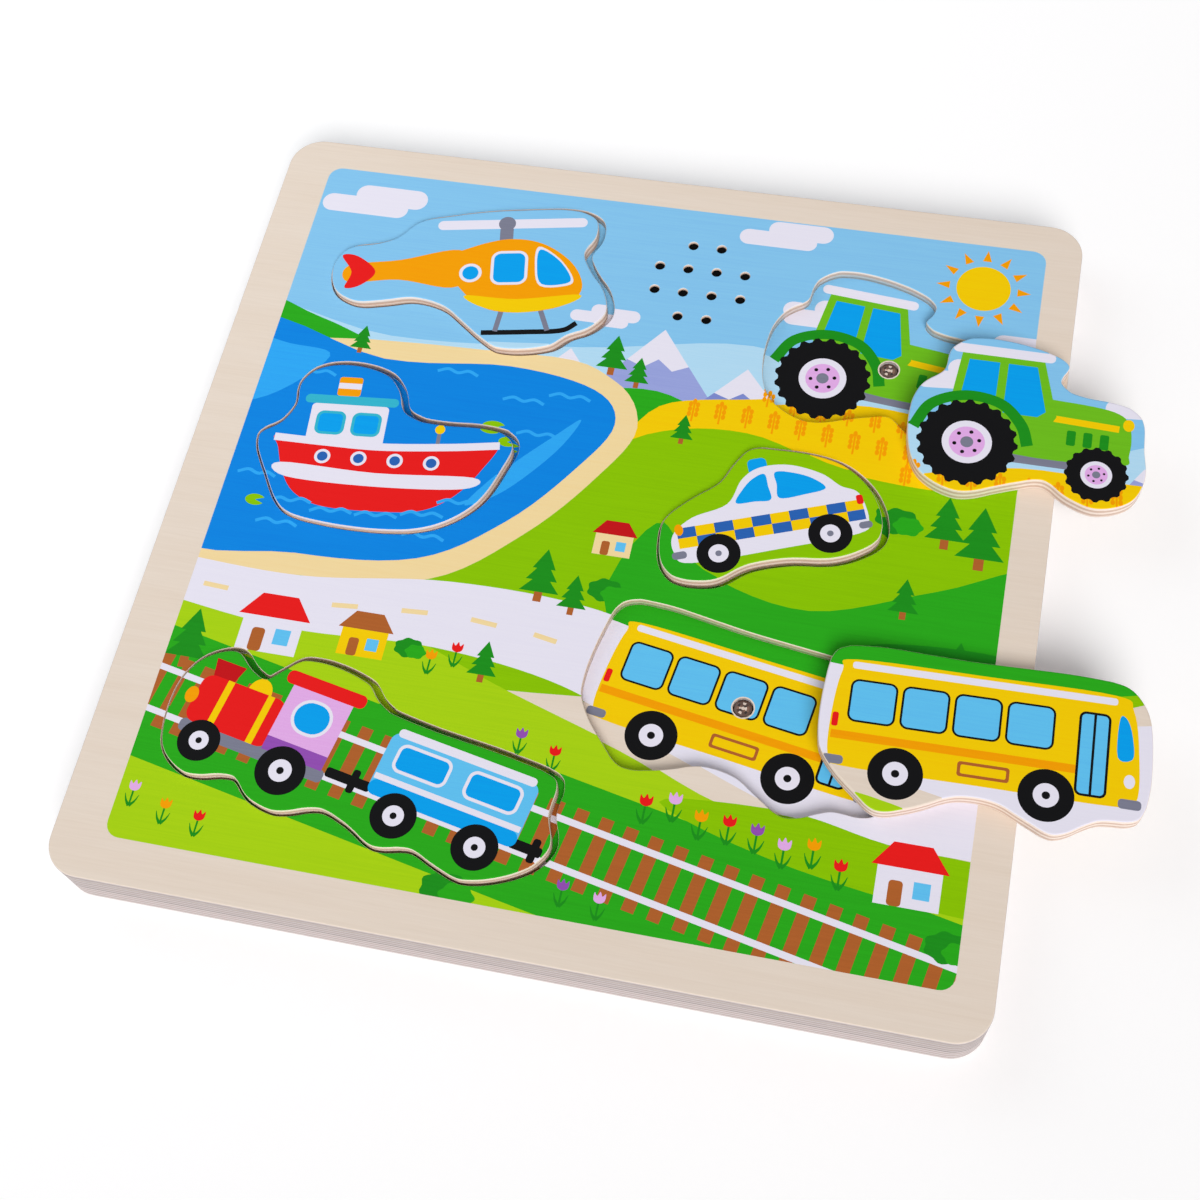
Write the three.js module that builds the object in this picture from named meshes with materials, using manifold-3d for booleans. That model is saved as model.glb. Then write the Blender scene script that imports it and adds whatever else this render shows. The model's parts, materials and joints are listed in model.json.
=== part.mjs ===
// Wooden sound puzzle: a square plywood board with six vehicle pieces that lift out of
// shaped recesses. A light sensor in each recess floor notices when its piece is taken out
// or put back, and a small speaker under the grille holes plays that vehicle's sound.
// Four pieces sit in their recesses; the tractor and the bus lie on the board's face.
// Units are millimetres, +Z is up, and the origin is the middle of the board's underside.

import * as THREE from 'three';
import { mergeVertices } from 'three/addons/utils/BufferGeometryUtils.js';
import Module from 'manifold-3d';

const wasm = await Module();
wasm.setup();

// Driving dimensions: the board and its layers
const BOARD_SIZE = 300;
const BOARD_CORNER_RADIUS = 12;
const FACE_THICKNESS = 4;
const BACK_THICKNESS = 3;
const RAIL_WIDTH = 16;
const POCKET_SKIN = 1.3;
const CAVITY_HEADROOM = 0.4;

// Driving dimensions: the vehicle pieces and their recesses
const PIECE_THICKNESS = 6;
const PIECE_EDGE_ROUND = 0.6;
const RECESS_CLEARANCE = 1.5;
const STEPS_PER_POINT = 3;
const PICTURE_STEPS = 300;

// Driving dimensions: general fits
const SEAT_GAP = 0.2;
const FIT_GAP = 0.3;

// Driving dimensions: light sensors
const SENSOR_DIAMETER = 6.6;
const SENSOR_HEIGHT = 2.2;
const SENSOR_BELOW_FLOOR = 0.4;
const SENSOR_PIN_DIAMETER = 0.7;
const SENSOR_PIN_PITCH = 1.2;
const SENSOR_PIN_LENGTH = 2.2;

// Driving dimensions: speaker and its grille
const SPEAKER_PLACE = [16.3, 106.4];
const SPEAKER_DIAMETER = 40;
const SPEAKER_HEIGHT = 9.4;
const SPEAKER_FLANGE_WIDTH = 2.5;
const SPEAKER_SHEET = 1;
const SPEAKER_MAGNET_DIAMETER = 19;
const SPEAKER_MAGNET_HEIGHT = 2.4;
const SPEAKER_COIL_DIAMETER = 8;
const SPEAKER_CONE_SHEET = 0.4;
const SPEAKER_CONE_TRAVEL = 0.4;
const GRILLE_PITCH = 10.5;
const GRILLE_HOLE_DIAMETER = 3.6;
const GRILLE_ROWS = 4;

// Driving dimensions: circuit board and what it carries
const CIRCUIT_PLACE = [-2, 30];
const CIRCUIT_LENGTH = 46;
const CIRCUIT_WIDTH = 32;
const CIRCUIT_THICKNESS = 1.6;
const CHIP_DIAMETER = 14;
const CHIP_HEIGHT = 1.3;
const CHIP_SHOULDER = 0.75;
const CAPACITOR_DIAMETER = 3.4;
const CAPACITOR_LENGTH = 7;

// Driving dimensions: battery compartment
const BATTERY_PLACE = [-70, -40];
const CELL_DIAMETER = 10.5;
const CELL_LENGTH = 44.5;
const CELL_NUB_DIAMETER = 3.8;
const CELL_NUB_LENGTH = 0.9;
const CELL_SPACING = 0.6;
const CELL_SIDE_GAP = 0.4;
const CELL_DOOR_GAP = 0.5;
const CONTACT_THICKNESS = 0.4;
const CONTACT_SIZE = 8;
const SPRING_LENGTH = 4.4;
const SPRING_WIRE_DIAMETER = 0.6;
const SPRING_BASE_RADIUS = 3.2;
const SPRING_TIP_RADIUS = 1.8;
const SPRING_TURNS = 3;
const BOX_WALL = 1.2;
const DOOR_THICKNESS = 1.5;
const DOOR_INSET = 0.4;
const DOOR_LAP = 1.2;
const DOOR_RIM = 1.6;
const DOOR_LEDGE = 1.4;
const DOOR_PEG_DIAMETER = 1.1;
const DOOR_PEG_LENGTH = 0.8;
const BOSS_LENGTH = 10;
const BOSS_DIAMETER = 7;
const BOSS_HEIGHT = 6;
const EAR_LENGTH = 10;
const EAR_REACH = 8;
const EAR_THICKNESS = 1.2;

// Driving dimensions: power switch
const SWITCH_PLACE = [-40, -2];
const SWITCH_LENGTH = 12;
const SWITCH_WIDTH = 6;
const SWITCH_HEIGHT = 4.5;
const SWITCH_EAR_LENGTH = 4.5;
const SLIDER_LENGTH = 3;
const SLIDER_FOOT_LENGTH = 5;
const SLIDER_FOOT_HEIGHT = 1.4;
const SLIDER_WIDTH = 2.4;
const SLIDER_TRAVEL = 4;
const SLIDER_INSET = 0.6;

// Driving dimensions: screws and leads
const BACK_SCREW = { head: 6, headHeight: 1.7, shank: 2.8, length: 8, inset: 0.2 };
const DOOR_SCREW = { head: 4.2, headHeight: 1.1, shank: 2, length: 5, inset: 0.1 };
const SMALL_SCREW = { head: 4, headHeight: 1.2, shank: 2, length: 3.4 };
const SCREW_SIDE_OFFSET = 20;
const LEAD_DIAMETER = 2;
const LEAD_SIDES = 6;
const LEAD_STEPS_PER_POINT = 3;
const ROUND_SIDES = 20;
const ARC_SEGMENTS = 6;
const SMALL_ROUND_SIDES = 10;

// Outlines of the vehicle pieces, each drawn upright about its own middle. They and all places
// on the board count in picture steps, of which PICTURE_STEPS go across the board. The points
// run clockwise and a closed smooth curve passes through them. home is the recess; rest is where
// the piece lies now: a small shift inside the recess, or a place on the board's face.
const VEHICLES = {
  helicopter: {
    outline: [
      [-53, 4.5], [-48, 12], [-37, 14], [-30, 16.5], [-22, 23.5], [-9.5, 26], [3, 27.5],
      [16, 28], [37.5, 27], [44.5, 22.5], [44.5, 15], [40.5, 7.5], [43, -0.5], [48, -9.5],
      [49, -19], [43, -25.5], [35.5, -28.5], [28.5, -33], [10.5, -33.5], [4, -29], [-3, -22],
      [-10.5, -15], [-22, -11], [-33.5, -12], [-43.5, -12], [-51.5, -6.5],
    ],
    home: { x: -65, y: 97.3, turn: 10 },
    shift: [-1, -0.3],
    sensor: [4, -4],
    color: '#f5a100',
  },
  boat: {
    outline: [
      [-44.5, 2.5], [-37.5, 8.5], [-33.5, 16], [-33.5, 25], [-28.5, 31.5], [-17, 34],
      [-2.5, 30.5], [3, 24], [6, 16], [14, 12], [41, 10], [46.5, 5], [44, -5], [37.5, -18.5],
      [26.5, -27.5], [12.5, -31.5], [-18.5, -30], [-30.5, -26], [-38.5, -13.5],
    ],
    home: { x: -80.7, y: 19.1, turn: 5 },
    shift: [-0.3, -1.1],
    sensor: [2, -8],
    color: '#ee1c1c',
  },
  car: {
    outline: [
      [-39, 0.5], [-36, 7], [-26, 13], [-15.5, 17.5], [-8.5, 24.5], [-2.5, 28.5], [6.5, 26.5],
      [19.5, 21.5], [28, 15.5], [34.5, 4.5], [35.5, -7.5], [32.5, -14], [23.5, -17.5],
      [15, -18], [2, -15.5], [-12, -15.5], [-24, -19], [-36.5, -15.5], [-40, -9.5],
    ],
    home: { x: 59.9, y: 12.8, turn: 20 },
    shift: [-0.9, 0.2],
    sensor: [0, 2],
    color: '#e4e0f0',
  },
  train: {
    outline: [
      [-66.5, -9], [-68, 6], [-64, 15.5], [-55, 21], [-47.5, 17], [-41.5, 15.5], [-38, 19.5],
      [-31.5, 26.5], [-9, 26.5], [-2.5, 22], [4.5, 19.5], [55.5, 19.5], [63, 17.5], [65, 6.5],
      [69.5, -3], [65.5, -12.5], [48.5, -23], [38, -22], [28.5, -20], [17, -23.5], [6, -20],
      [-4.5, -18.5], [-17.5, -24.5], [-28, -23.5], [-36, -19], [-50.5, -23.5], [-61.5, -19],
    ],
    home: { x: -57.5, y: -96.4, turn: -11 },
    shift: [-0.5, -0.6],
    sensor: [2, 0],
    color: '#e0261c',
  },
  tractor: {
    outline: [
      [-40, 1.5], [-37, 10], [-30.5, 16.5], [-29, 25.5], [-22, 31], [0, 30], [11.5, 24.5],
      [9.5, 17.5], [14, 13.5], [32, 11], [37.5, 6.5], [39, -5.5], [40, -16.5], [36, -26],
      [25, -30.5], [15, -27.5], [7, -22.5], [-4, -25.5], [-20, -31], [-33, -26], [-38.5, -16.5],
    ],
    home: { x: 86.5, y: 84.8, turn: -5 },
    onFace: { x: 138, y: 62.5, turn: 0 },
    sensor: [2.3, -2.4],
    color: '#8bc400',
  },
  bus: {
    outline: [
      [-51, 16], [-49, 24.5], [-43, 27.5], [-6, 27.5], [36, 27.5], [44, 25.5], [49.5, 18.5],
      [51.5, 8], [51, -12], [48, -18], [36.5, -20], [24, -26.5], [14.5, -23], [5.5, -19],
      [-6.5, -19], [-18.5, -24.5], [-30, -27.5], [-38, -22], [-46.5, -14], [-50.5, -7],
    ],
    home: { x: 60.1, y: -58.6, turn: -9 },
    onFace: { x: 136.3, y: -57, turn: 1 },
    sensor: [-0.6, 4.4],
    color: '#fad302',
  },
};

// Picture steps as millimetres, and the places of the inner parts
const pictureStep = BOARD_SIZE / PICTURE_STEPS;

function onBoard(place) {
  return place.map((steps) => steps * pictureStep);
}

const [speakerX, speakerY] = onBoard(SPEAKER_PLACE);
const [circuitX, circuitY] = onBoard(CIRCUIT_PLACE);
const [batteryX, batteryY] = onBoard(BATTERY_PLACE);
const [switchX, switchY] = onBoard(SWITCH_PLACE);

// Levels worked out from the inside outwards: the circuit board and its capacitor set the
// height of the rails, and the battery box sets the thickness of the recess floor panel.
const doorTop = DOOR_INSET + DOOR_THICKNESS;
const cellAxisZ = doorTop + CELL_DOOR_GAP + CELL_DIAMETER / 2;
const chamberTop = cellAxisZ + CELL_DIAMETER / 2 + FIT_GAP;
const boxTop = chamberTop + BOX_WALL;
const backTop = BACK_THICKNESS;
const railHeight = CIRCUIT_THICKNESS + SEAT_GAP + CAPACITOR_DIAMETER + 2 * CAVITY_HEADROOM;
const railTop = backTop + railHeight;
const floorTop = boxTop + FIT_GAP + POCKET_SKIN;
const faceTop = floorTop + FACE_THICKNESS;
const leadLevel = backTop + LEAD_DIAMETER / 2 + SEAT_GAP;

// Battery compartment sizes that several pieces share, about the compartment's own middle
const chamberLength = CELL_LENGTH + SPRING_LENGTH + 2 * CONTACT_THICKNESS + 4 * SEAT_GAP;
const chamberWidth = 2 * CELL_DIAMETER + CELL_SPACING + 2 * CELL_SIDE_GAP;
const cellPitch = CELL_DIAMETER + CELL_SPACING;
const collarHalfWidth = chamberWidth / 2 + DOOR_LAP + DOOR_RIM;
const collarRight = chamberLength / 2 + DOOR_LAP + DOOR_RIM;
const collarLeft = -(chamberLength / 2 + BOSS_LENGTH + DOOR_RIM);
const doorHalfWidth = collarHalfWidth - DOOR_RIM - SEAT_GAP;
const doorScrewX = -(chamberLength / 2 + BOSS_LENGTH / 2);
const hingeX = collarRight - DOOR_RIM - SEAT_GAP - DOOR_THICKNESS / 2;
const hingeZ = DOOR_INSET + DOOR_THICKNESS / 2;
const boxHalfLength = chamberLength / 2 + BOX_WALL;
const boxHalfWidth = chamberWidth / 2 + BOX_WALL;
const earScrewY = collarHalfWidth + EAR_REACH / 2;

// Where the screws of the back panel go: three along the front and back rails, one at each side
const railMiddle = BOARD_SIZE / 2 - RAIL_WIDTH / 2;
const screwReach = BOARD_SIZE / 2 - SCREW_SIDE_OFFSET;
const railScrewXs = [-screwReach, 0, screwReach];
const backScrewPlaces = [
  ...railScrewXs.map((x) => [x, -railMiddle]),
  [railMiddle, 0],
  ...railScrewXs.map((x) => [-x, railMiddle]),
  [-railMiddle, 0],
];

const puzzle = new THREE.Group();

// A closed mesh as a solid for joining and cutting, and a solid back as a mesh
function toSolid(geometry) {
  const bare = geometry.clone();
  bare.deleteAttribute('normal');
  bare.deleteAttribute('uv');
  const welded = mergeVertices(bare);
  const corners = welded.index.array;
  const triangles = [];
  for (let i = 0; i < corners.length; i += 3) {
    const [a, b, c] = [corners[i], corners[i + 1], corners[i + 2]];
    if (a !== b && b !== c && c !== a) {
      triangles.push(a, b, c);
    }
  }
  return new wasm.Manifold(new wasm.Mesh({
    numProp: 3,
    vertProperties: new Float32Array(welded.attributes.position.array),
    triVerts: new Uint32Array(triangles),
  }));
}

function toGeometry(solid) {
  const mesh = solid.getMesh();
  const geometry = new THREE.BufferGeometry();
  geometry.setAttribute('position', new THREE.BufferAttribute(mesh.vertProperties, 3));
  geometry.setIndex(new THREE.BufferAttribute(mesh.triVerts, 1));
  geometry.computeVertexNormals();
  return geometry;
}

function cutAway(geometry, tools) {
  let solid = toSolid(geometry);
  for (const tool of tools) {
    solid = solid.subtract(toSolid(tool));
  }
  return toGeometry(solid);
}

function joined(geometries) {
  let solid = toSolid(geometries[0]);
  for (const geometry of geometries.slice(1)) {
    solid = solid.add(toSolid(geometry));
  }
  return toGeometry(solid);
}

// Basic forms, all standing between two heights
function prism(shape, bottom, top) {
  const options = { depth: top - bottom, bevelEnabled: false, curveSegments: ARC_SEGMENTS };
  return new THREE.ExtrudeGeometry(shape, options).translate(0, 0, bottom);
}

function block(x, y, bottom, top) {
  const box = new THREE.BoxGeometry(x[1] - x[0], y[1] - y[0], top - bottom);
  return box.translate((x[0] + x[1]) / 2, (y[0] + y[1]) / 2, (bottom + top) / 2);
}

function disc(diameter, bottom, top, sides = ROUND_SIDES) {
  const cylinder = new THREE.CylinderGeometry(diameter / 2, diameter / 2, top - bottom, sides);
  return cylinder.rotateX(Math.PI / 2).translate(0, 0, (bottom + top) / 2);
}

// A profile of [radius, height] points, from the bottom up, turned round the Z axis
function revolve(profile, sides = ROUND_SIDES) {
  const points = profile.map(([radius, height]) => new THREE.Vector2(radius, height));
  return new THREE.LatheGeometry(points, sides).rotateX(Math.PI / 2);
}

function tube(curve, diameter, sides, steps) {
  const ring = [];
  for (let i = 0; i < sides; i += 1) {
    const angle = (2 * Math.PI * i) / sides;
    ring.push(new THREE.Vector2(Math.cos(angle), Math.sin(angle)).multiplyScalar(diameter / 2));
  }
  const options = { steps, extrudePath: curve, bevelEnabled: false };
  return new THREE.ExtrudeGeometry(new THREE.Shape(ring), options);
}

function addPart(name, geometry, [color, roughness, metalness], group = puzzle) {
  const material = new THREE.MeshStandardMaterial({ color, roughness, metalness });
  const mesh = new THREE.Mesh(geometry, material);
  mesh.name = name;
  group.add(mesh);
  return mesh;
}

// Finishes as [colour, roughness, metalness]
const BIRCH_PLY = ['#e4d4c8', 0.6, 0];
const PRINTED_PLY = ['#8cc63f', 0.35, 0];
const BACK_BOARD = ['#d9c3a6', 0.65, 0];
const BLACK_PLASTIC = ['#26262a', 0.5, 0];
const STEEL = ['#b9bcc2', 0.35, 1];
const BRASS_PLATE = ['#cfc9b4', 0.3, 1];
const SPEAKER_PAPER = ['#2e2d30', 0.85, 0];
const CIRCUIT_GREEN = ['#1d6b3a', 0.4, 0];
const CELL_WRAP = ['#3a6fb0', 0.35, 0.2];
const SENSOR_FACE = ['#b7a190', 0.25, 0];
const LEAD_GREY = ['#77787c', 0.55, 0];

// The smooth outline of a piece as plan points, moved outwards by a clearance
function outlinePoints(vehicle, clearance) {
  const knots = vehicle.outline.map((point) => new THREE.Vector3(...onBoard(point), 0));
  const curve = new THREE.CatmullRomCurve3(knots, true, 'centripetal');
  const count = knots.length * STEPS_PER_POINT;
  const points = [];
  for (let i = 0; i < count; i += 1) {
    const spot = curve.getPoint(i / count);
    const along = curve.getTangent(i / count);
    points.push(new THREE.Vector2(spot.x - along.y * clearance, spot.y + along.x * clearance));
  }
  return points;
}

function placed(point, place) {
  const centre = new THREE.Vector2(0, 0);
  const turned = point.clone().rotateAround(centre, THREE.MathUtils.degToRad(place.turn));
  return turned.add(new THREE.Vector2(...onBoard([place.x, place.y])));
}

function recessPath(vehicle) {
  const rim = outlinePoints(vehicle, RECESS_CLEARANCE);
  return new THREE.Path(rim.map((point) => placed(point, vehicle.home)));
}

function sensorPlace(vehicle) {
  return placed(new THREE.Vector2(...onBoard(vehicle.sensor)), vehicle.home);
}

function roundHole(x, y, diameter) {
  const hole = new THREE.Path();
  hole.absarc(x, y, diameter / 2, 0, 2 * Math.PI, true);
  return hole;
}

function boardShape() {
  const half = BOARD_SIZE / 2;
  const inner = half - BOARD_CORNER_RADIUS;
  const shape = new THREE.Shape();
  shape.absarc(inner, inner, BOARD_CORNER_RADIUS, 0, Math.PI / 2, false);
  shape.absarc(-inner, inner, BOARD_CORNER_RADIUS, Math.PI / 2, Math.PI, false);
  shape.absarc(-inner, -inner, BOARD_CORNER_RADIUS, Math.PI, 1.5 * Math.PI, false);
  shape.absarc(inner, -inner, BOARD_CORNER_RADIUS, 1.5 * Math.PI, 2 * Math.PI, false);
  shape.closePath();
  return shape;
}

// A square grid of grille holes without its four corner holes
function grillePlaces() {
  const places = [];
  const last = GRILLE_ROWS - 1;
  for (let row = 0; row < GRILLE_ROWS; row += 1) {
    for (let column = 0; column < GRILLE_ROWS; column += 1) {
      const corner = (row === 0 || row === last) && (column === 0 || column === last);
      if (!corner) {
        const x = speakerX + (column - last / 2) * GRILLE_PITCH;
        const y = speakerY + (row - last / 2) * GRILLE_PITCH;
        places.push([x, y]);
      }
    }
  }
  return places;
}

// A screw standing head down on z = 0, with a countersunk or a flat-bottomed head
function screwForm(screw, countersunk, growth = 0) {
  const head = screw.head / 2 + growth;
  const shank = screw.shank / 2 + growth;
  const tip = screw.length + growth;
  const step = countersunk ? [] : [[head, screw.headHeight]];
  const neck = [...step, [shank, screw.headHeight]];
  const profile = [[0, -growth], [head, -growth], ...neck, [shank, tip - shank], [0, tip]];
  return revolve(profile, SMALL_ROUND_SIDES);
}

// Board layers
function addFacePanel() {
  const shape = boardShape();
  for (const vehicle of Object.values(VEHICLES)) {
    shape.holes.push(recessPath(vehicle));
  }
  for (const [x, y] of grillePlaces()) {
    shape.holes.push(roundHole(x, y, GRILLE_HOLE_DIAMETER));
  }
  addPart('face_panel', prism(shape, floorTop, faceTop), PRINTED_PLY);
}

function addRecessFloorPanel() {
  const shape = boardShape();
  for (const vehicle of Object.values(VEHICLES)) {
    const spot = sensorPlace(vehicle);
    shape.holes.push(roundHole(spot.x, spot.y, SENSOR_DIAMETER + 2 * SEAT_GAP));
  }
  for (const [x, y] of grillePlaces()) {
    shape.holes.push(roundHole(x, y, GRILLE_HOLE_DIAMETER));
  }
  const below = railTop - 1;
  const pocketX = [batteryX - boxHalfLength - FIT_GAP, batteryX + boxHalfLength + FIT_GAP];
  const pocketY = [batteryY - boxHalfWidth - FIT_GAP, batteryY + boxHalfWidth + FIT_GAP];
  const speakerTop = backTop + CAVITY_HEADROOM + SEAT_GAP + SPEAKER_HEIGHT;
  const speakerPocket = disc(SPEAKER_DIAMETER + 2 * FIT_GAP, below, speakerTop, 2 * ROUND_SIDES);
  const tools = [
    block(pocketX, pocketY, below, boxTop + FIT_GAP),
    speakerPocket.translate(speakerX, speakerY, 0),
  ];
  for (const [x, y] of circuitScrewPlaces()) {
    const hole = screwForm(SMALL_SCREW, false, SEAT_GAP);
    tools.push(hole.translate(x, y, railTop - CIRCUIT_THICKNESS - SMALL_SCREW.headHeight));
  }
  addPart('recess_floor_panel', cutAway(prism(shape, railTop, floorTop), tools), BIRCH_PLY);
}

function addRails() {
  const half = BOARD_SIZE / 2;
  const inner = half - BOARD_CORNER_RADIUS;
  const pilot = BACK_SCREW.shank + 2 * SEAT_GAP;
  for (const [name, turn] of [['frame_rail_front', 0], ['frame_rail_back', Math.PI]]) {
    const shape = new THREE.Shape();
    shape.moveTo(half, RAIL_WIDTH - half);
    shape.lineTo(-half, RAIL_WIDTH - half);
    shape.absarc(-inner, -inner, BOARD_CORNER_RADIUS, Math.PI, 1.5 * Math.PI, false);
    shape.absarc(inner, -inner, BOARD_CORNER_RADIUS, 1.5 * Math.PI, 2 * Math.PI, false);
    for (const x of railScrewXs) {
      shape.holes.push(roundHole(x, -railMiddle, pilot));
    }
    addPart(name, prism(shape, backTop, railTop), BIRCH_PLY).rotation.z = turn;
  }
  for (const [name, side] of [['frame_rail_left', -1], ['frame_rail_right', 1]]) {
    const shape = new THREE.Shape();
    const reach = half - RAIL_WIDTH;
    shape.moveTo(-RAIL_WIDTH / 2, -reach);
    shape.lineTo(RAIL_WIDTH / 2, -reach);
    shape.lineTo(RAIL_WIDTH / 2, reach);
    shape.lineTo(-RAIL_WIDTH / 2, reach);
    shape.holes.push(roundHole(0, 0, pilot));
    const rail = prism(shape, backTop, railTop).translate(side * railMiddle, 0, 0);
    addPart(name, rail, BIRCH_PLY);
  }
}

function addBackPanel() {
  const openX = [batteryX + collarLeft - FIT_GAP, batteryX + collarRight + FIT_GAP];
  const openY = [batteryY - collarHalfWidth - FIT_GAP, batteryY + collarHalfWidth + FIT_GAP];
  const slotX = (SLIDER_LENGTH + SLIDER_TRAVEL) / 2 + FIT_GAP;
  const slotY = SLIDER_WIDTH / 2 + FIT_GAP;
  const slot = block([-slotX, slotX], [-slotY, slotY], -1, backTop + 1);
  const tools = [
    block(openX, openY, -1, backTop + 1),
    slot.translate(switchX, switchY, 0),
  ];
  for (const [x, y] of backScrewPlaces) {
    tools.push(screwForm(BACK_SCREW, true, SEAT_GAP).translate(x, y, BACK_SCREW.inset));
    const mouth = disc(BACK_SCREW.head + 2 * SEAT_GAP, -1, BACK_SCREW.inset, SMALL_ROUND_SIDES);
    tools.push(mouth.translate(x, y, 0));
  }
  for (const [x, y] of [...earScrewPlaces(), ...switchScrewPlaces()]) {
    tools.push(earScrewForm(SEAT_GAP).translate(x, y, 0));
  }
  addPart('back_panel', cutAway(prism(boardShape(), 0, backTop), tools), BACK_BOARD);
  backScrewPlaces.forEach(([x, y], i) => {
    const screw = screwForm(BACK_SCREW, true).translate(x, y, BACK_SCREW.inset);
    addPart(`back_screw_${i + 1}`, screw, STEEL);
  });
}

// Vehicle pieces: eased plywood shapes, seated in their recesses or lying on the face
function addPieces() {
  for (const [name, vehicle] of Object.entries(VEHICLES)) {
    const options = {
      depth: PIECE_THICKNESS - 2 * PIECE_EDGE_ROUND,
      bevelThickness: PIECE_EDGE_ROUND,
      bevelSize: PIECE_EDGE_ROUND,
      bevelOffset: -PIECE_EDGE_ROUND,
      bevelSegments: 1,
    };
    const form = new THREE.ExtrudeGeometry(new THREE.Shape(outlinePoints(vehicle, 0)), options);
    form.translate(0, 0, PIECE_EDGE_ROUND);
    const piece = addPart(`${name}_piece`, form, [vehicle.color, 0.35, 0]);
    const place = vehicle.onFace ?? vehicle.home;
    const [shiftX, shiftY] = vehicle.shift ?? [0, 0];
    const [x, y] = onBoard([place.x, place.y]);
    piece.position.set(x + shiftX, y + shiftY, vehicle.onFace ? faceTop : floorTop);
    piece.rotation.z = THREE.MathUtils.degToRad(place.turn);
  }
}

// Light sensors: a round cell with two pins, just below each recess floor
function addSensors() {
  const top = floorTop - SENSOR_BELOW_FLOOR;
  const base = top - SENSOR_HEIGHT;
  for (const [name, vehicle] of Object.entries(VEHICLES)) {
    const spot = sensorPlace(vehicle);
    const pins = [-1, 1].map((side) => {
      const pin = disc(SENSOR_PIN_DIAMETER, base - SENSOR_PIN_LENGTH, base + 1, 6);
      return pin.translate((side * SENSOR_PIN_PITCH) / 2, 0, 0);
    });
    const sensor = joined([disc(SENSOR_DIAMETER, base, top), ...pins]);
    addPart(`light_sensor_${name}`, sensor.translate(spot.x, spot.y, 0), SENSOR_FACE);
  }
}

// Speaker: pressed frame under the grille, moving cone and magnet
function addSpeaker() {
  const bottom = backTop + CAVITY_HEADROOM + SEAT_GAP;
  const top = bottom + SPEAKER_HEIGHT;
  const plate = bottom + SPEAKER_MAGNET_HEIGHT;
  const rim = SPEAKER_DIAMETER / 2;
  const mouth = rim - SPEAKER_FLANGE_WIDTH;
  const throat = SPEAKER_COIL_DIAMETER / 2 + 2 * FIT_GAP;
  const waist = SPEAKER_MAGNET_DIAMETER / 2 + SPEAKER_SHEET;
  const flange = top - SPEAKER_SHEET;
  const shoulder = flange - 2 * SPEAKER_SHEET;
  const frame = revolve([
    [throat, plate], [waist + SPEAKER_SHEET, plate], [mouth + SPEAKER_SHEET, shoulder - SPEAKER_SHEET],
    [mouth + SPEAKER_SHEET, flange], [rim, flange], [rim, top], [mouth, top], [mouth, shoulder],
    [waist, plate + SPEAKER_SHEET], [throat, plate + SPEAKER_SHEET], [throat, plate],
  ]);
  const speaker = new THREE.Group();
  speaker.position.set(speakerX, speakerY, 0);
  puzzle.add(speaker);
  addPart('speaker_frame', frame, STEEL, speaker);

  const coil = SPEAKER_COIL_DIAMETER / 2;
  const edge = mouth - 2 * FIT_GAP;
  const edgeTop = flange - SPEAKER_CONE_TRAVEL;
  const neck = plate + 2 * SPEAKER_SHEET + 2 * SPEAKER_CONE_TRAVEL;
  const coilBottom = neck - SPEAKER_SHEET;
  const sheet = SPEAKER_CONE_SHEET;
  const cone = revolve([
    [0, neck], [coil - sheet, neck], [coil - sheet, coilBottom], [coil, coilBottom],
    [coil, neck], [edge, edgeTop - sheet], [edge, edgeTop], [coil, neck + 2 * sheet],
    [coil / 2, neck + 4 * sheet], [0, neck + 5 * sheet],
  ]);
  addPart('speaker_cone', cone, SPEAKER_PAPER, speaker);
  addPart('speaker_magnet', disc(SPEAKER_MAGNET_DIAMETER, bottom, plate), BLACK_PLASTIC, speaker);
}

// Circuit board, screwed under the recess floor panel with its parts facing down
function circuitScrewPlaces() {
  const x = CIRCUIT_LENGTH / 2 - SMALL_SCREW.head;
  const y = CIRCUIT_WIDTH / 2 - SMALL_SCREW.head;
  return [[circuitX - x, circuitY + y], [circuitX + x, circuitY - y]];
}

function addCircuit() {
  const under = railTop - CIRCUIT_THICKNESS;
  const shape = new THREE.Shape();
  const [halfLength, halfWidth] = [CIRCUIT_LENGTH / 2, CIRCUIT_WIDTH / 2];
  shape.moveTo(circuitX - halfLength, circuitY - halfWidth);
  shape.lineTo(circuitX + halfLength, circuitY - halfWidth);
  shape.lineTo(circuitX + halfLength, circuitY + halfWidth);
  shape.lineTo(circuitX - halfLength, circuitY + halfWidth);
  circuitScrewPlaces().forEach(([x, y], i) => {
    shape.holes.push(roundHole(x, y, SMALL_SCREW.shank + 2 * SEAT_GAP));
    const screw = screwForm(SMALL_SCREW, false).translate(x, y, under - SMALL_SCREW.headHeight);
    addPart(`circuit_board_screw_${i + 1}`, screw, STEEL);
  });
  addPart('circuit_board', prism(shape, under, railTop), CIRCUIT_GREEN);

  const radius = CHIP_DIAMETER / 2;
  const shoulder = [CHIP_SHOULDER * radius, under - CHIP_SHOULDER * CHIP_HEIGHT];
  const blob = revolve([[0, under - CHIP_HEIGHT], shoulder, [radius, under], [0, under]]);
  addPart('sound_chip', blob.translate(circuitX, circuitY, 0), BLACK_PLASTIC);

  const can = new THREE.CylinderGeometry(
    CAPACITOR_DIAMETER / 2, CAPACITOR_DIAMETER / 2, CAPACITOR_LENGTH, SMALL_ROUND_SIDES,
  );
  const canX = circuitX + radius + CAPACITOR_DIAMETER;
  can.translate(canX, circuitY + halfWidth / 4, under - SEAT_GAP - CAPACITOR_DIAMETER / 2);
  addPart('capacitor', can, BLACK_PLASTIC);
}

// Battery compartment, about its own middle and moved to its place as a group
function earScrewPlaces() {
  return [[batteryX, batteryY + earScrewY], [batteryX, batteryY - earScrewY]];
}

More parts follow.
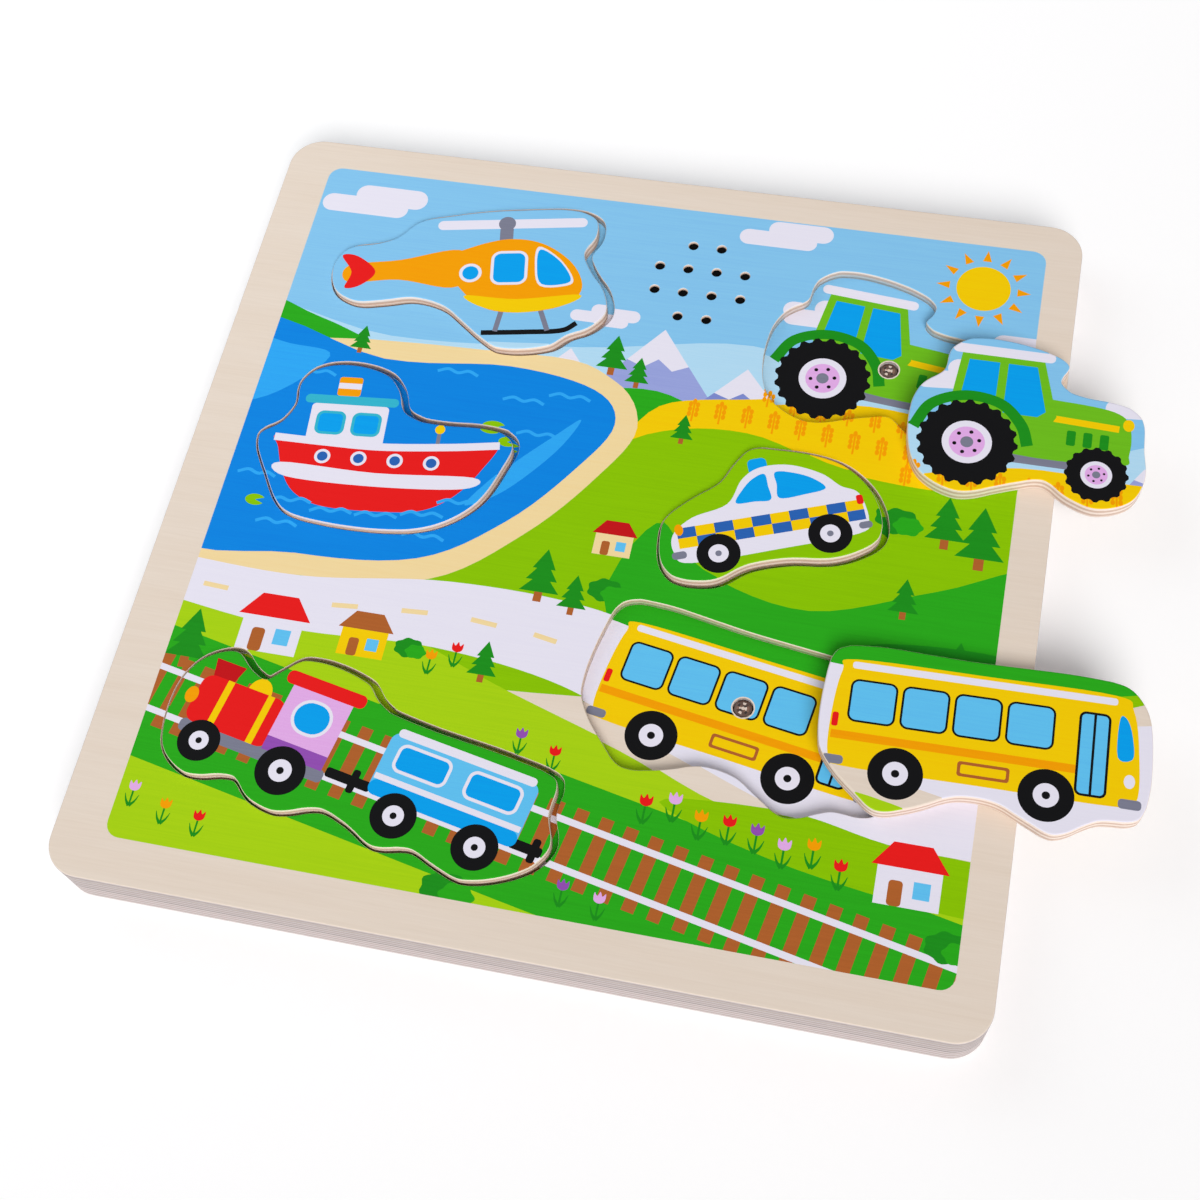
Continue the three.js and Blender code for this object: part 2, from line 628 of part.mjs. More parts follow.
// A small screw turned over, head up on an ear that lies on the back panel
function earScrewForm(growth = 0) {
  const headTop = backTop + EAR_THICKNESS + SMALL_SCREW.headHeight;
  return screwForm(SMALL_SCREW, false, growth).rotateX(Math.PI).translate(0, 0, headTop);
}

function pegForm(length, diameter) {
  const peg = new THREE.CylinderGeometry(diameter / 2, diameter / 2, length, SMALL_ROUND_SIDES);
  return peg.translate(hingeX, 0, hingeZ);
}

function batteryBoxForm() {
  const collarY = [-collarHalfWidth, collarHalfWidth];
  const collar = block([collarLeft, collarRight], collarY, 0, doorTop + DOOR_LEDGE);
  const body = block([-boxHalfLength, boxHalfLength], [-boxHalfWidth, boxHalfWidth], doorTop, boxTop);
  const boss = disc(BOSS_DIAMETER, doorTop, doorTop + BOSS_HEIGHT).translate(doorScrewX, 0, 0);
  const reach = collarHalfWidth + EAR_REACH;
  const ears = [-1, 1].map((side) => {
    const root = side * (boxHalfWidth - BOX_WALL / 2);
    const span = [Math.min(root, side * reach), Math.max(root, side * reach)];
    return block([-EAR_LENGTH / 2, EAR_LENGTH / 2], span, backTop, backTop + EAR_THICKNESS);
  });
  const seatX = [collarLeft + DOOR_RIM, collarRight - DOOR_RIM];
  const seatHalf = collarHalfWidth - DOOR_RIM;
  const screwHole = disc(DOOR_SCREW.shank + 4 * FIT_GAP, 0, doorTop + DOOR_SCREW.length, SMALL_ROUND_SIDES);
  const pegGap = 2 * SEAT_GAP;
  const cuts = [
    block([-chamberLength / 2, chamberLength / 2], [-chamberWidth / 2, chamberWidth / 2], -1, chamberTop),
    block(seatX, [-seatHalf, seatHalf], -1, doorTop + SEAT_GAP),
    pegForm(2 * (doorHalfWidth + DOOR_PEG_LENGTH) + pegGap, DOOR_PEG_DIAMETER + pegGap),
    screwHole.translate(doorScrewX, 0, 0),
  ];
  for (const side of [-1, 1]) {
    cuts.push(earScrewForm(SEAT_GAP).translate(0, side * earScrewY, 0));
  }
  return cutAway(joined([collar, body, boss, ...ears]), cuts);
}

function batteryDoorForm() {
  const left = collarLeft + DOOR_RIM + SEAT_GAP;
  const plate = block([left, hingeX], [-doorHalfWidth, doorHalfWidth], DOOR_INSET, doorTop);
  const bead = pegForm(2 * doorHalfWidth, DOOR_THICKNESS);
  const pegs = pegForm(2 * (doorHalfWidth + DOOR_PEG_LENGTH), DOOR_PEG_DIAMETER);
  const screwHole = screwForm(DOOR_SCREW, true, SEAT_GAP);
  const mouth = disc(DOOR_SCREW.head + 2 * SEAT_GAP, -1, DOOR_SCREW.inset, SMALL_ROUND_SIDES);
  const cuts = [screwHole, mouth].map((cut) => cut.translate(doorScrewX, 0, DOOR_INSET + DOOR_SCREW.inset));
  return cutAway(joined([plate, bead, pegs]), cuts);
}

// A narrowing coil spring along X, from a contact plate towards the cell
class SpringPath extends THREE.Curve {
  constructor(direction, startX, y) {
    super();
    this.direction = direction;
    this.startX = startX;
    this.y = y;
  }

  getPoint(t, target = new THREE.Vector3()) {
    const angle = 2 * Math.PI * SPRING_TURNS * t;
    const radius = THREE.MathUtils.lerp(SPRING_BASE_RADIUS, SPRING_TIP_RADIUS, t);
    const x = this.startX + this.direction * (SPRING_LENGTH - SPRING_WIRE_DIAMETER / 2) * t;
    return target.set(x, this.y + radius * Math.cos(angle), cellAxisZ + radius * Math.sin(angle));
  }
}

function contactPlate(x, yFrom, yTo) {
  const half = CONTACT_SIZE / 2;
  const thickness = [x - CONTACT_THICKNESS / 2, x + CONTACT_THICKNESS / 2];
  return block(thickness, [yFrom - half, yTo + half], cellAxisZ - half, cellAxisZ + half);
}

function springForm(direction, x, y) {
  return tube(new SpringPath(direction, x, y), SPRING_WIRE_DIAMETER, 5, 8 * SPRING_TURNS);
}

function cellForm() {
  const body = CELL_LENGTH - CELL_NUB_LENGTH;
  const radius = CELL_DIAMETER / 2;
  const nub = CELL_NUB_DIAMETER / 2;
  return revolve([[0, 0], [radius, 0], [radius, body], [nub, body], [nub, CELL_LENGTH], [0, CELL_LENGTH]]);
}

function addBattery() {
  const battery = new THREE.Group();
  battery.position.set(batteryX, batteryY, 0);
  puzzle.add(battery);
  addPart('battery_box', batteryBoxForm(), BLACK_PLASTIC, battery);
  addPart('battery_door', batteryDoorForm(), BLACK_PLASTIC, battery);
  const doorScrew = screwForm(DOOR_SCREW, true).translate(doorScrewX, 0, DOOR_INSET + DOOR_SCREW.inset);
  addPart('battery_door_screw', doorScrew, STEEL, battery);
  [1, -1].forEach((side, i) => {
    const screw = earScrewForm().translate(0, side * earScrewY, 0);
    addPart(`battery_box_screw_${i + 1}`, screw, STEEL, battery);
  });

  const plateX = chamberLength / 2 - SEAT_GAP - CONTACT_THICKNESS / 2;
  const row = cellPitch / 2;
  const bridge = joined([contactPlate(-plateX, -row, row), springForm(1, -plateX, row)]);
  const negative = joined([contactPlate(plateX, -row, -row), springForm(-1, plateX, -row)]);
  addPart('bridge_contact', bridge, BRASS_PLATE, battery);
  addPart('negative_contact', negative, BRASS_PLATE, battery);
  addPart('positive_contact', contactPlate(plateX, row, row), BRASS_PLATE, battery);

  const nubEnd = plateX - CONTACT_THICKNESS / 2 - SEAT_GAP;
  [1, -1].forEach((side, i) => {
    const cell = cellForm().rotateY((side * Math.PI) / 2);
    cell.translate(side * (nubEnd - CELL_LENGTH), side * row, cellAxisZ);
    addPart(`battery_cell_${i + 1}`, cell, CELL_WRAP, battery);
  });
}

// Power switch on the inside of the back panel, with its slider in a slot
function switchScrewPlaces() {
  const reach = SWITCH_LENGTH / 2 + SWITCH_EAR_LENGTH / 2;
  return [[switchX - reach, switchY], [switchX + reach, switchY]];
}

function addSwitch() {
  const toggle = new THREE.Group();
  toggle.position.set(switchX, switchY, 0);
  puzzle.add(toggle);
  const half = SWITCH_LENGTH / 2;
  const width = [-SWITCH_WIDTH / 2, SWITCH_WIDTH / 2];
  const reach = half + SWITCH_EAR_LENGTH;
  const body = joined([
    block([-half, half], width, backTop, backTop + SWITCH_HEIGHT),
    block([-reach, reach], width, backTop, backTop + EAR_THICKNESS),
  ]);
  const footTop = backTop + FIT_GAP + SLIDER_FOOT_HEIGHT;
  const grooveX = (SLIDER_FOOT_LENGTH + SLIDER_TRAVEL) / 2 + FIT_GAP;
  const grooveY = SLIDER_WIDTH / 2 + FIT_GAP;
  const cuts = [block([-grooveX, grooveX], [-grooveY, grooveY], backTop - 1, footTop + FIT_GAP)];
  for (const side of [-1, 1]) {
    cuts.push(earScrewForm(SEAT_GAP).translate(side * (half + SWITCH_EAR_LENGTH / 2), 0, 0));
  }
  addPart('switch_body', cutAway(body, cuts), BLACK_PLASTIC, toggle);

  const restX = -SLIDER_TRAVEL / 2;
  const sliderWidth = [-SLIDER_WIDTH / 2, SLIDER_WIDTH / 2];
  const footX = [restX - SLIDER_FOOT_LENGTH / 2, restX + SLIDER_FOOT_LENGTH / 2];
  const stemX = [restX - SLIDER_LENGTH / 2, restX + SLIDER_LENGTH / 2];
  const slider = joined([
    block(footX, sliderWidth, backTop + FIT_GAP, footTop),
    block(stemX, sliderWidth, SLIDER_INSET, footTop),
  ]);
  addPart('switch_slider', slider, BLACK_PLASTIC, toggle);
  [-1, 1].forEach((side, i) => {
    const screw = earScrewForm().translate(side * (half + SWITCH_EAR_LENGTH / 2), 0, 0);
    addPart(`switch_screw_${i + 1}`, screw, STEEL, toggle);
  });
}

// Leads: two-core wires that lie on the back panel and rise to the circuit board's underside.
// Each has start points, a run of places on the board and a solder pad, which is given as
// shares of the circuit board's half length and half width.
class LeadPath extends THREE.CatmullRomCurve3 {
  getPoint(t, target = new THREE.Vector3()) {
    super.getPoint(t, target);
    target.z = Math.max(target.z, leadLevel);
    return target;
  }
}

function addLead(name, start, run, pad) {
  const padLevel = railTop - CIRCUIT_THICKNESS - LEAD_DIAMETER / 2 - SEAT_GAP / 2;
  const padX = circuitX + (pad[0] * CIRCUIT_LENGTH) / 2;
  const padY = circuitY + (pad[1] * CIRCUIT_WIDTH) / 2;
  const points = [
    ...start.map(([x, y, z]) => new THREE.Vector3(x, y, z)),
    ...run.map((place) => new THREE.Vector3(...onBoard(place), leadLevel)),
    new THREE.Vector3(padX, padY, padLevel),
  ];
  const curve = new LeadPath(points, false, 'centripetal');
  const steps = (points.length - 1) * LEAD_STEPS_PER_POINT;
  addPart(name, tube(curve, LEAD_DIAMETER, LEAD_SIDES, steps), LEAD_GREY);
}

function addLeads() {
  const sensorRuns = {
    helicopter: { run: [[-57, 88], [-38, 68], [-17, 48]], pad: [-0.48, 0.8] },
    boat: { run: [[-71, 14], [-50, 23], [-29, 32]], pad: [-0.87, 0.19] },
    car: { run: [[52, 16], [40, 20], [26, 26]], pad: [0.87, -0.12] },
    train: { run: [[-48, -89], [-28, -62], [-13, -20], [-10, 9]], pad: [-0.3, -0.81] },
    tractor: { run: [[81, 77], [60, 66], [24, 46]], pad: [0.83, 0.69] },
    bus: { run: [[55, -47], [34, -20], [11, 8]], pad: [0.35, -0.81] },
  };
  const pinEnd = floorTop - SENSOR_BELOW_FLOOR - SENSOR_HEIGHT - SENSOR_PIN_LENGTH - SEAT_GAP;
  for (const [name, { run, pad }] of Object.entries(sensorRuns)) {
    const spot = sensorPlace(VEHICLES[name]);
    const drop = [[spot.x, spot.y, pinEnd], [spot.x, spot.y, railTop - LEAD_DIAMETER / 2]];
    addLead(`sensor_lead_${name}`, drop, run, pad);
  }
  const magnetEdge = SPEAKER_MAGNET_DIAMETER / 2 + SEAT_GAP;
  const speakerStart = [[speakerX, speakerY - magnetEdge, leadLevel]];
  addLead('speaker_lead', speakerStart, [[15, 80], [10, 60], [6, 48]], [0.3, 0.81]);
  const boxEnd = batteryX + boxHalfLength + FIT_GAP;
  const batteryStart = [[boxEnd, batteryY, cellAxisZ], [boxEnd + LEAD_DIAMETER, batteryY, cellAxisZ]];
  addLead('battery_lead', batteryStart, [[-32, -34], [-22, -8], [-19, 9]], [-0.7, -0.81]);
  const switchSide = switchY + SWITCH_WIDTH / 2 + FIT_GAP;
  const switchExit = backTop + SWITCH_HEIGHT - LEAD_DIAMETER / 2;
  const switchStart = [
    [switchX, switchSide, switchExit], [switchX, switchSide + LEAD_DIAMETER, switchExit],
  ];
  addLead('switch_lead', switchStart, [[-35, 12], [-28, 21]], [-0.87, -0.31]);
}

addFacePanel();
addRecessFloorPanel();
addRails();
addBackPanel();
addPieces();
addSensors();
addSpeaker();
addCircuit();
addBattery();
addSwitch();
addLeads();

export default puzzle;
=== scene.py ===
"""Looks of a wooden sound puzzle: printed plywood board, vehicle pieces, recess prints and stage.

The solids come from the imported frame. Lengths in the drawings are millimetres on the board,
seen from above, with the board's middle at zero; meshes are in metres.
"""

import json
import math

import bpy
import numpy as np
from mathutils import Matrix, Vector
from mathutils.geometry import delaunay_2d_cdt

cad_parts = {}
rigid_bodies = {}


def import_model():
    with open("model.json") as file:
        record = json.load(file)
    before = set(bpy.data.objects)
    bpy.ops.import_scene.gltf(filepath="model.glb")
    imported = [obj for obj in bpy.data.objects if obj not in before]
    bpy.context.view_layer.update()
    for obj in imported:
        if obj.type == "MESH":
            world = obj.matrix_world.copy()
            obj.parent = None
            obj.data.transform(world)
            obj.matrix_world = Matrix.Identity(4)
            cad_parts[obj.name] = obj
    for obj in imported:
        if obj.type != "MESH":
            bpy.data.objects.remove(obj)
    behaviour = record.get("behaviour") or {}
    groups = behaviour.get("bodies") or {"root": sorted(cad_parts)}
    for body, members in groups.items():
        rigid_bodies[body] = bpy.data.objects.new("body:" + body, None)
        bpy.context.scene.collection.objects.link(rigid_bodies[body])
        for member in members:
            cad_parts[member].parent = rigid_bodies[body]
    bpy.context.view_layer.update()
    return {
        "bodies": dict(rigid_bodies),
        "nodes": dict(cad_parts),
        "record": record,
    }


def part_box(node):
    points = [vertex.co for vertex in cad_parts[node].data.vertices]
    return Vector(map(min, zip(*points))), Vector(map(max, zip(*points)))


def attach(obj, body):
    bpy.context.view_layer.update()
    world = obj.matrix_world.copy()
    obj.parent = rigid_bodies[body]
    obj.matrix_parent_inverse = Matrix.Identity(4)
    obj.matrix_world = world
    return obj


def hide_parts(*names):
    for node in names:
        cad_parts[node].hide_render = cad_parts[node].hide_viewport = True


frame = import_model()
NODES = frame["nodes"]

bl_info = {
    "name": "Sound puzzle",
    "version": (1, 0, 0),
    "blender": (4, 5, 0),
    "location": "View3D > Sidebar > Sound puzzle",
    "description": "Builds the looks of a plywood sound puzzle round its solids",
    "category": "Object",
}

MM = 0.001
# steps of a rounded edge, and how many of them carry the print on
EASE_STEPS = 4
INKED_STEPS = 2
# points on the arc of a rectangle's rounded corner
CORNER_POINTS = 7
# how many steps a smooth curve makes of each step of a solid's outline
RIM_STEPS = 4
# how far from a level a solid's point may lie and still be on it, in mm
LEVEL_SLACK = 0.01
# bare wood left round a light sensor, in mm
SENSOR_RING = 0.6
# play of a print or a cloth in the opening round it, in mm
PLAY = 0.05
# openings narrower than this are grille holes, in mm
GRILLE_HOLE = 6
# a rim point nearer than this to an opening's rim belongs to that opening, in mm
OPENING_REACH = 1.5
# half the width of the floor, and how far it lies under the board, in metres
FLOOR_REACH = 6.0
FLOOR_DROP = 0.0002
# width of the camera's film in mm, and the nearest that it sees in metres
FILM_WIDTH = 36
NEAREST = 0.01


def linear(code):
    """A colour written as #rrggbb in sRGB, as linear red, green and blue."""
    parts = np.array([int(code[i:i + 2], 16) for i in (1, 3, 5)]) / 255
    low = parts / 12.92
    high = ((parts + 0.055) / 1.055) ** 2.4
    return tuple(float(x) for x in np.where(parts <= 0.04045, low, high))


# Sizes and colours that a user may change

INKS = {
    "sky": ("Sky", "#86c6ee"),
    "haze": ("Pale sky near the horizon", "#b4dcf4"),
    "cloud": ("Clouds and white paint", "#e8e5f3"),
    "peak": ("Far mountains", "#9aa5dd"),
    "slope": ("Near mountains", "#7f8ccf"),
    "lake": ("Deep water", "#0a86e2"),
    "shallow": ("Shallow water and ripples", "#2fa9f4"),
    "sand": ("Sand and paths", "#f2d9a2"),
    "forest": ("Dark green", "#1d8f1c"),
    "hill": ("Hill green", "#2aaa1b"),
    "meadow": ("Meadow green", "#8bc500"),
    "sprout": ("Light green", "#a9d312"),
    "straw": ("Straw yellow", "#f5cd02"),
    "amber": ("Orange", "#f5a100"),
    "bark": ("Brown", "#b0622d"),
    "red": ("Red", "#e81c1c"),
    "brick": ("Dark red", "#c3141a"),
    "rose": ("Pink", "#e3aee8"),
    "plum": ("Purple", "#9450b4"),
    "glass": ("Window blue", "#62c3f2"),
    "azure": ("Strong blue", "#06a2ee"),
    "navy": ("Livery blue", "#2b63b4"),
    "teal": ("Turquoise", "#35b6cf"),
    "grey": ("Grey", "#7d7f92"),
    "ink": ("Black", "#0c0c0e"),
    "leaf": ("Tractor green", "#6fbf1e"),
}


def tint(label, words, value):
    """A colour property."""
    return bpy.props.FloatVectorProperty(
        name=label, description=words, subtype="COLOR", size=3, min=0, max=1, default=value,
    )


def amount(label, words, value, **kind):
    """A number property, with its unit or subtype where one fits."""
    return bpy.props.FloatProperty(name=label, description=words, default=value, **kind)


def length(label, words, value):
    """A length property in metres whose default is given in millimetres."""
    return amount(label, words, value * MM, unit="LENGTH", precision=5)


def vector(label, words, value, kind):
    """A property of three numbers that are a place, a direction or a turn."""
    return bpy.props.FloatVectorProperty(
        name=label, description=words, subtype=kind, default=value, precision=5,
    )


class InkSettings(bpy.types.PropertyGroup):
    """Inks of the print."""

    __annotations__ = {key: tint(label, f"Ink: {label.lower()}", linear(code))
                       for key, (label, code) in INKS.items()}


class BoardSettings(bpy.types.PropertyGroup):
    """Sizes of the print and of the eased edges."""

    print_left: length("Print left", "Left edge of the printed area", -133)
    print_right: length("Print right", "Right edge of the printed area", 137.6)
    print_front: length("Print front", "Front edge of the printed area", -135)
    print_back: length("Print back", "Back edge of the printed area", 138)
    print_corner: length("Print corner", "Corner radius of the printed area", 5)
    board_ease: length("Board edge", "Rounding of the board's upper edge", 0.5)
    opening_ease: length("Opening edge", "Rounding of the recesses' upper edges", 0.35)
    piece_ease: length("Piece edge", "Rounding of a piece's edges, as in its solid", 0.6)
    piece_trim: length("Piece trim", "How far a piece stays inside its solid", 0.06)
    film: length("Floor print", "Thickness of the print layer on a recess floor", 0.02)


class StageSettings(bpy.types.PropertyGroup):
    """Camera, lamps and floor."""

    lens: amount("Lens", "Focal length", 53.714, unit="CAMERA")
    eye: vector("Camera place", "Where the camera stands", (0.10090, -0.27598, 0.55353), "TRANSLATION")
    gaze: vector("Camera turn", "Turn of the camera",
                 tuple(math.radians(angle) for angle in (26.2758, 4.3080, 11.9180)), "EULER")
    floor: tint("Floor colour", "Colour of the floor", linear("#fbfbfc"))
    floor_lift: amount("Floor lift", "Light that the floor adds in the picture, to stay white", 0.09)
    key_strength: amount("Key light", "Strength of the broad light from the front", 2.56)
    key_tint: tint("Key tint", "Colour of the key light", (1.0, 0.978, 0.958))
    key_way: vector("Key direction", "Which way the key light shines", (-0.24, 0.7, -0.7), "XYZ")
    key_spread: amount("Key spread", "How broad the key light is", math.radians(34), subtype="ANGLE")
    side_power: amount("Side light", "Power of the soft lamp on the left", 1.15, unit="POWER")
    side_tint: tint("Side tint", "Colour of the side lamp", (0.88, 0.97, 1.0))
    side_place: vector("Side lamp place", "Where the side lamp hangs", (-0.5, 0.25, 0.5), "TRANSLATION")
    side_aim: vector("Side lamp aim", "Where the side lamp points", (-0.1, 0.0, 0.0), "TRANSLATION")
    side_size: amount("Side lamp size", "Width of the side lamp's disc", 0.7, unit="LENGTH")
    room_light: amount("Room light", "Strength of the even light from all round", 0.3)
    room_tint: tint("Room tint", "Colour of the even light", (0.985, 0.98, 1.0))


# Drawing helpers: polygons as arrays of board points


def between_knots(a, b, c, d, per):
    """Points from each knot b towards the next knot c: each coordinate is a cubic whose slope
    at a knot is half the step between that knot's two neighbours."""
    t = (np.arange(per) / per)[None, :, None]
    bend = 2 * a - 5 * b + 4 * c - d + t * (3 * (b - c) + d - a)
    return (b + 0.5 * t * (c - a + t * bend)).reshape(-1, 2)


def closed_curve(knots, per=6):
    """A closed smooth loop through the knots."""
    knots = np.asarray(knots, float)
    ends = (np.roll(knots, shift, axis=0)[:, None] for shift in (1, 0, -1, -2))
    return between_knots(*ends, per)


def open_curve(knots, per=8):
    """A smooth line through the knots, drawn out at each end by one straight step."""
    knots = np.asarray(knots, float)
    drawn = np.vstack([2 * knots[0] - knots[1], knots, 2 * knots[-1] - knots[-2]])
    ends = (drawn[i:len(knots) - 1 + i][:, None] for i in range(4))
    return np.vstack([between_knots(*ends, per), knots[-1]])


def oval(x, y, across, up=None, count=36, wave=0.0, waves=0):
    """An ellipse about (x, y); its radius may swell by a share in a number of waves."""
    angle = np.arange(count) * 2 * math.pi / count
    swell = 1 + wave * np.cos(waves * angle)
    up = across if up is None else up
    return np.stack([x + across * swell * np.cos(angle), y + up * swell * np.sin(angle)], 1)


def plate(x0, y0, x1, y1, corner=0.0):
    """A rectangle between two corners, with rounded corners of a radius."""
    if corner <= 0:
        return np.array([[x0, y0], [x1, y0], [x1, y1], [x0, y1]], float)
    angle = np.linspace(0, math.pi / 2, CORNER_POINTS)
    centres = [(x1 - corner, y1 - corner), (x0 + corner, y1 - corner),
               (x0 + corner, y0 + corner), (x1 - corner, y0 + corner)]
    arcs = [np.stack([cx + corner * np.cos(angle + i * math.pi / 2),
                      cy + corner * np.sin(angle + i * math.pi / 2)], 1)
            for i, (cx, cy) in enumerate(centres)]
    return np.vstack(arcs)


def ribbon(knots, width, end_width=None, smooth=True):
    """A band along a line: each point of the line moved both ways along its normal by half a
    width, which changes evenly from one end to the other."""
    line = open_curve(knots) if smooth else np.asarray(knots, float)
    along = np.gradient(line, axis=0)
    along /= np.linalg.norm(along, axis=1, keepdims=True)
    side = np.stack([-along[:, 1], along[:, 0]], 1)
    half = np.linspace(width, width if end_width is None else end_width, len(line))[:, None] / 2
    return np.vstack([line + side * half, (line - side * half)[::-1]])


def shape(*points):
    """A polygon with straight sides."""
    return np.array(points, float)


def turned(points, degrees):
    """Points turned about zero."""
    angle = math.radians(degrees)
    spin = np.array([[math.cos(angle), math.sin(angle)], [-math.sin(angle), math.cos(angle)]])
    return np.asarray(points, float) @ spin


def placed(art, place):
    """Drawn inks moved to a place, which is x, y and a turn in degrees."""
    return [(key, turned(points, place[2]) + place[:2]) for key, points in art]


def taken_from(art, place):
    """The reverse of placed: board drawing as seen from a piece's own middle."""
    return [(key, turned(points - np.array(place[:2]), -place[2])) for key, points in art]


# The landscape


def pine(x, y, tall):
    """A conifer of three stacked triangles on a trunk."""
    art = [("bark", plate(x - 0.07 * tall, y, x + 0.07 * tall, y + 0.25 * tall))]
    for low, high, half in ((0.18, 0.58, 0.34), (0.40, 0.80, 0.27), (0.62, 1.0, 0.2)):
        tier = shape((x - half * tall, y + low * tall), (x + half * tall, y + low * tall),
                     (x, y + high * tall))
        art.append(("forest", tier))
    return art


def tulip(x, y, tall, key):
    """A cup-shaped flower on a stem with two leaves."""
    cup = closed_curve([(x - 0.2 * tall, y + 0.95 * tall), (x - 0.19 * tall, y + 0.68 * tall),
                        (x, y + 0.58 * tall), (x + 0.19 * tall, y + 0.68 * tall),
                        (x + 0.2 * tall, y + 0.95 * tall), (x + 0.09 * tall, y + 0.84 * tall),
                        (x, y + 1.0 * tall), (x - 0.09 * tall, y + 0.84 * tall)], 4)
    leaves = [ribbon([(x, y), (x + s * 0.16 * tall, y + 0.2 * tall),
                      (x + s * 0.26 * tall, y + 0.45 * tall)], 0.13 * tall, 0.02 * tall)
              for s in (-1, 1)]
    stem = ("forest", ribbon([(x, y), (x, y + 0.65 * tall)], 0.07 * tall, smooth=False))
    return [("forest", leaf) for leaf in leaves] + [stem, (key, cup)]


def house(x, y, wide, wall, roof):
    """A cottage with a gable roof, a door, a window and a chimney."""
    tall = 0.62 * wide
    return [
        ("brick", plate(x + 0.2 * wide, y + tall, x + 0.32 * wide, y + 1.5 * tall)),
        (wall, plate(x - wide / 2, y, x + wide / 2, y + tall)),
        (roof, shape((x - 0.6 * wide, y + tall), (x + 0.6 * wide, y + tall),
                     (x + 0.3 * wide, y + 1.65 * tall), (x - 0.3 * wide, y + 1.65 * tall))),
        ("bark", plate(x - 0.3 * wide, y, x - 0.08 * wide, y + 0.66 * tall, 0.06 * wide)),
        ("glass", plate(x + 0.08 * wide, y + 0.26 * tall, x + 0.34 * wide, y + 0.7 * tall)),
    ]


def cloud(x, y, wide):
    """A flat-bottomed cloud of two long pills."""
    low = plate(x - 0.5 * wide, y, x + 0.34 * wide, y + 0.2 * wide, 0.099 * wide)
    high = plate(x - 0.2 * wide, y + 0.12 * wide, x + 0.5 * wide, y + 0.34 * wide, 0.109 * wide)
    return [("cloud", low), ("cloud", high)]


def ripple(x, y, wide):
    """A water line with two crests."""
    crests = [(x - wide / 2, y), (x - wide / 4, y + 0.10 * wide), (x, y + 0.02 * wide),
              (x + wide / 4, y + 0.10 * wide), (x + wide / 2, y)]
    return [("shallow", ribbon(crests, 1.2))]


def sheaf(x, y, tall):
    """An ear of grain: a stalk with three pairs of kernels."""
    art = [("amber", ribbon([(x, y), (x, y + 0.85 * tall)], 0.08 * tall, smooth=False)),
           ("amber", oval(x, y + 0.98 * tall, 0.09 * tall, 0.15 * tall, 10))]
    for row in range(3):
        for side in (-1, 1):
            height = y + (0.36 + 0.24 * row) * tall
            art.append(("amber", oval(x + side * 0.15 * tall, height, 0.09 * tall, 0.13 * tall, 10)))
    return art


def track(start, end, gauge):
    """A straight railway: sleepers at an even pitch across the line, under two rails."""
    sleeper_pitch, sleeper_width, rail_width = 8.4, 4.2, 2.2
    start, end = np.array(start, float), np.array(end, float)
    reach = np.linalg.norm(end - start)
    along = (end - start) / reach
    side = gauge * np.array([-along[1], along[0]])
    art = []
    for step in np.arange(0, reach, sleeper_pitch):
        middle = start + along * step
        ends = [middle - 0.85 * side, middle + 0.85 * side]
        art.append(("bark", ribbon(ends, sleeper_width, smooth=False)))
    for shift in (-0.5, 0.5):
        rail = [start + shift * side, end + shift * side]
        art.append(("cloud", ribbon(rail, rail_width, smooth=False)))
    return art


def mountain(x, y, half, tall, key, snow=0.36):
    """A triangular mountain whose uppermost share is snow with a ragged lower edge."""
    edge = 1 - snow
    cap = shape((x - snow * half, y + edge * tall), (x - 0.16 * half, y + (edge - 0.06) * tall),
                (x, y + (edge + 0.04) * tall), (x + 0.18 * half, y + (edge - 0.07) * tall),
                (x + snow * half, y + edge * tall), (x, y + tall))
    return [(key, shape((x - half, y), (x + half, y), (x, y + tall))), ("cloud", cap)]


def sky():
    """Sky with a haze, the sun, clouds and snowy mountains."""
    art = [
        ("sky", plate(-150, 30, 150, 150)),
        ("haze", closed_curve([(-150, 30), (-150, 74), (-90, 66), (-20, 72), (40, 82), (95, 70),
                               (150, 80), (150, 30)])),
    ]
    sun = (117, 119)
    ray = shape((12, -1.6), (16.8, 0), (12, 1.6))
    art += [("amber", turned(ray, 30 * step) + sun) for step in range(12)]
    art.append(("straw", oval(*sun, 9.6)))
    for x, y, wide in ((-112, 118, 40), (44, 126, 34), (-14, 82, 24), (66, 96, 36), (130, 88, 36)):
        art += cloud(x, y, wide)
    for x, y, half, tall, key in ((8, 44, 31, 40, "peak"), (40, 40, 28, 32, "slope"),
                                  (132, 40, 30, 38, "peak"), (-24, 44, 22, 27, "slope")):
        art += mountain(x, y, half, tall, key)
    return art


def fields():
    """Green hills behind a field of grain, and the meadow in front of it."""
    art = [
        ("hill", closed_curve([(-150, 30), (-150, 76), (-118, 70), (-84, 60), (-48, 64), (-20, 56),
                               (10, 58), (40, 50), (80, 60), (120, 52), (150, 58), (150, 20),
                               (0, 10)])),
        ("straw", closed_curve([(2, 30), (12, 52), (44, 60), (84, 66), (126, 62), (150, 66),
                                (150, 34), (108, 30), (60, 40), (26, 40)])),
    ]
    for row, (left, right, up) in enumerate(((24, 130, 45), (46, 136, 55), (100, 136, 36))):
        for x in np.arange(left, right, 9.5):
            art += sheaf(x + 3 * (row % 2), up + 3 * math.sin(x / 22), 8.4)
    art.append(("meadow", closed_curve([(-150, 14), (-60, -2), (-20, 16), (10, 40), (44, 46),
                                        (80, 36), (118, 34), (150, 40), (150, -30), (20, -60),
                                        (-150, -60)])))
    return art


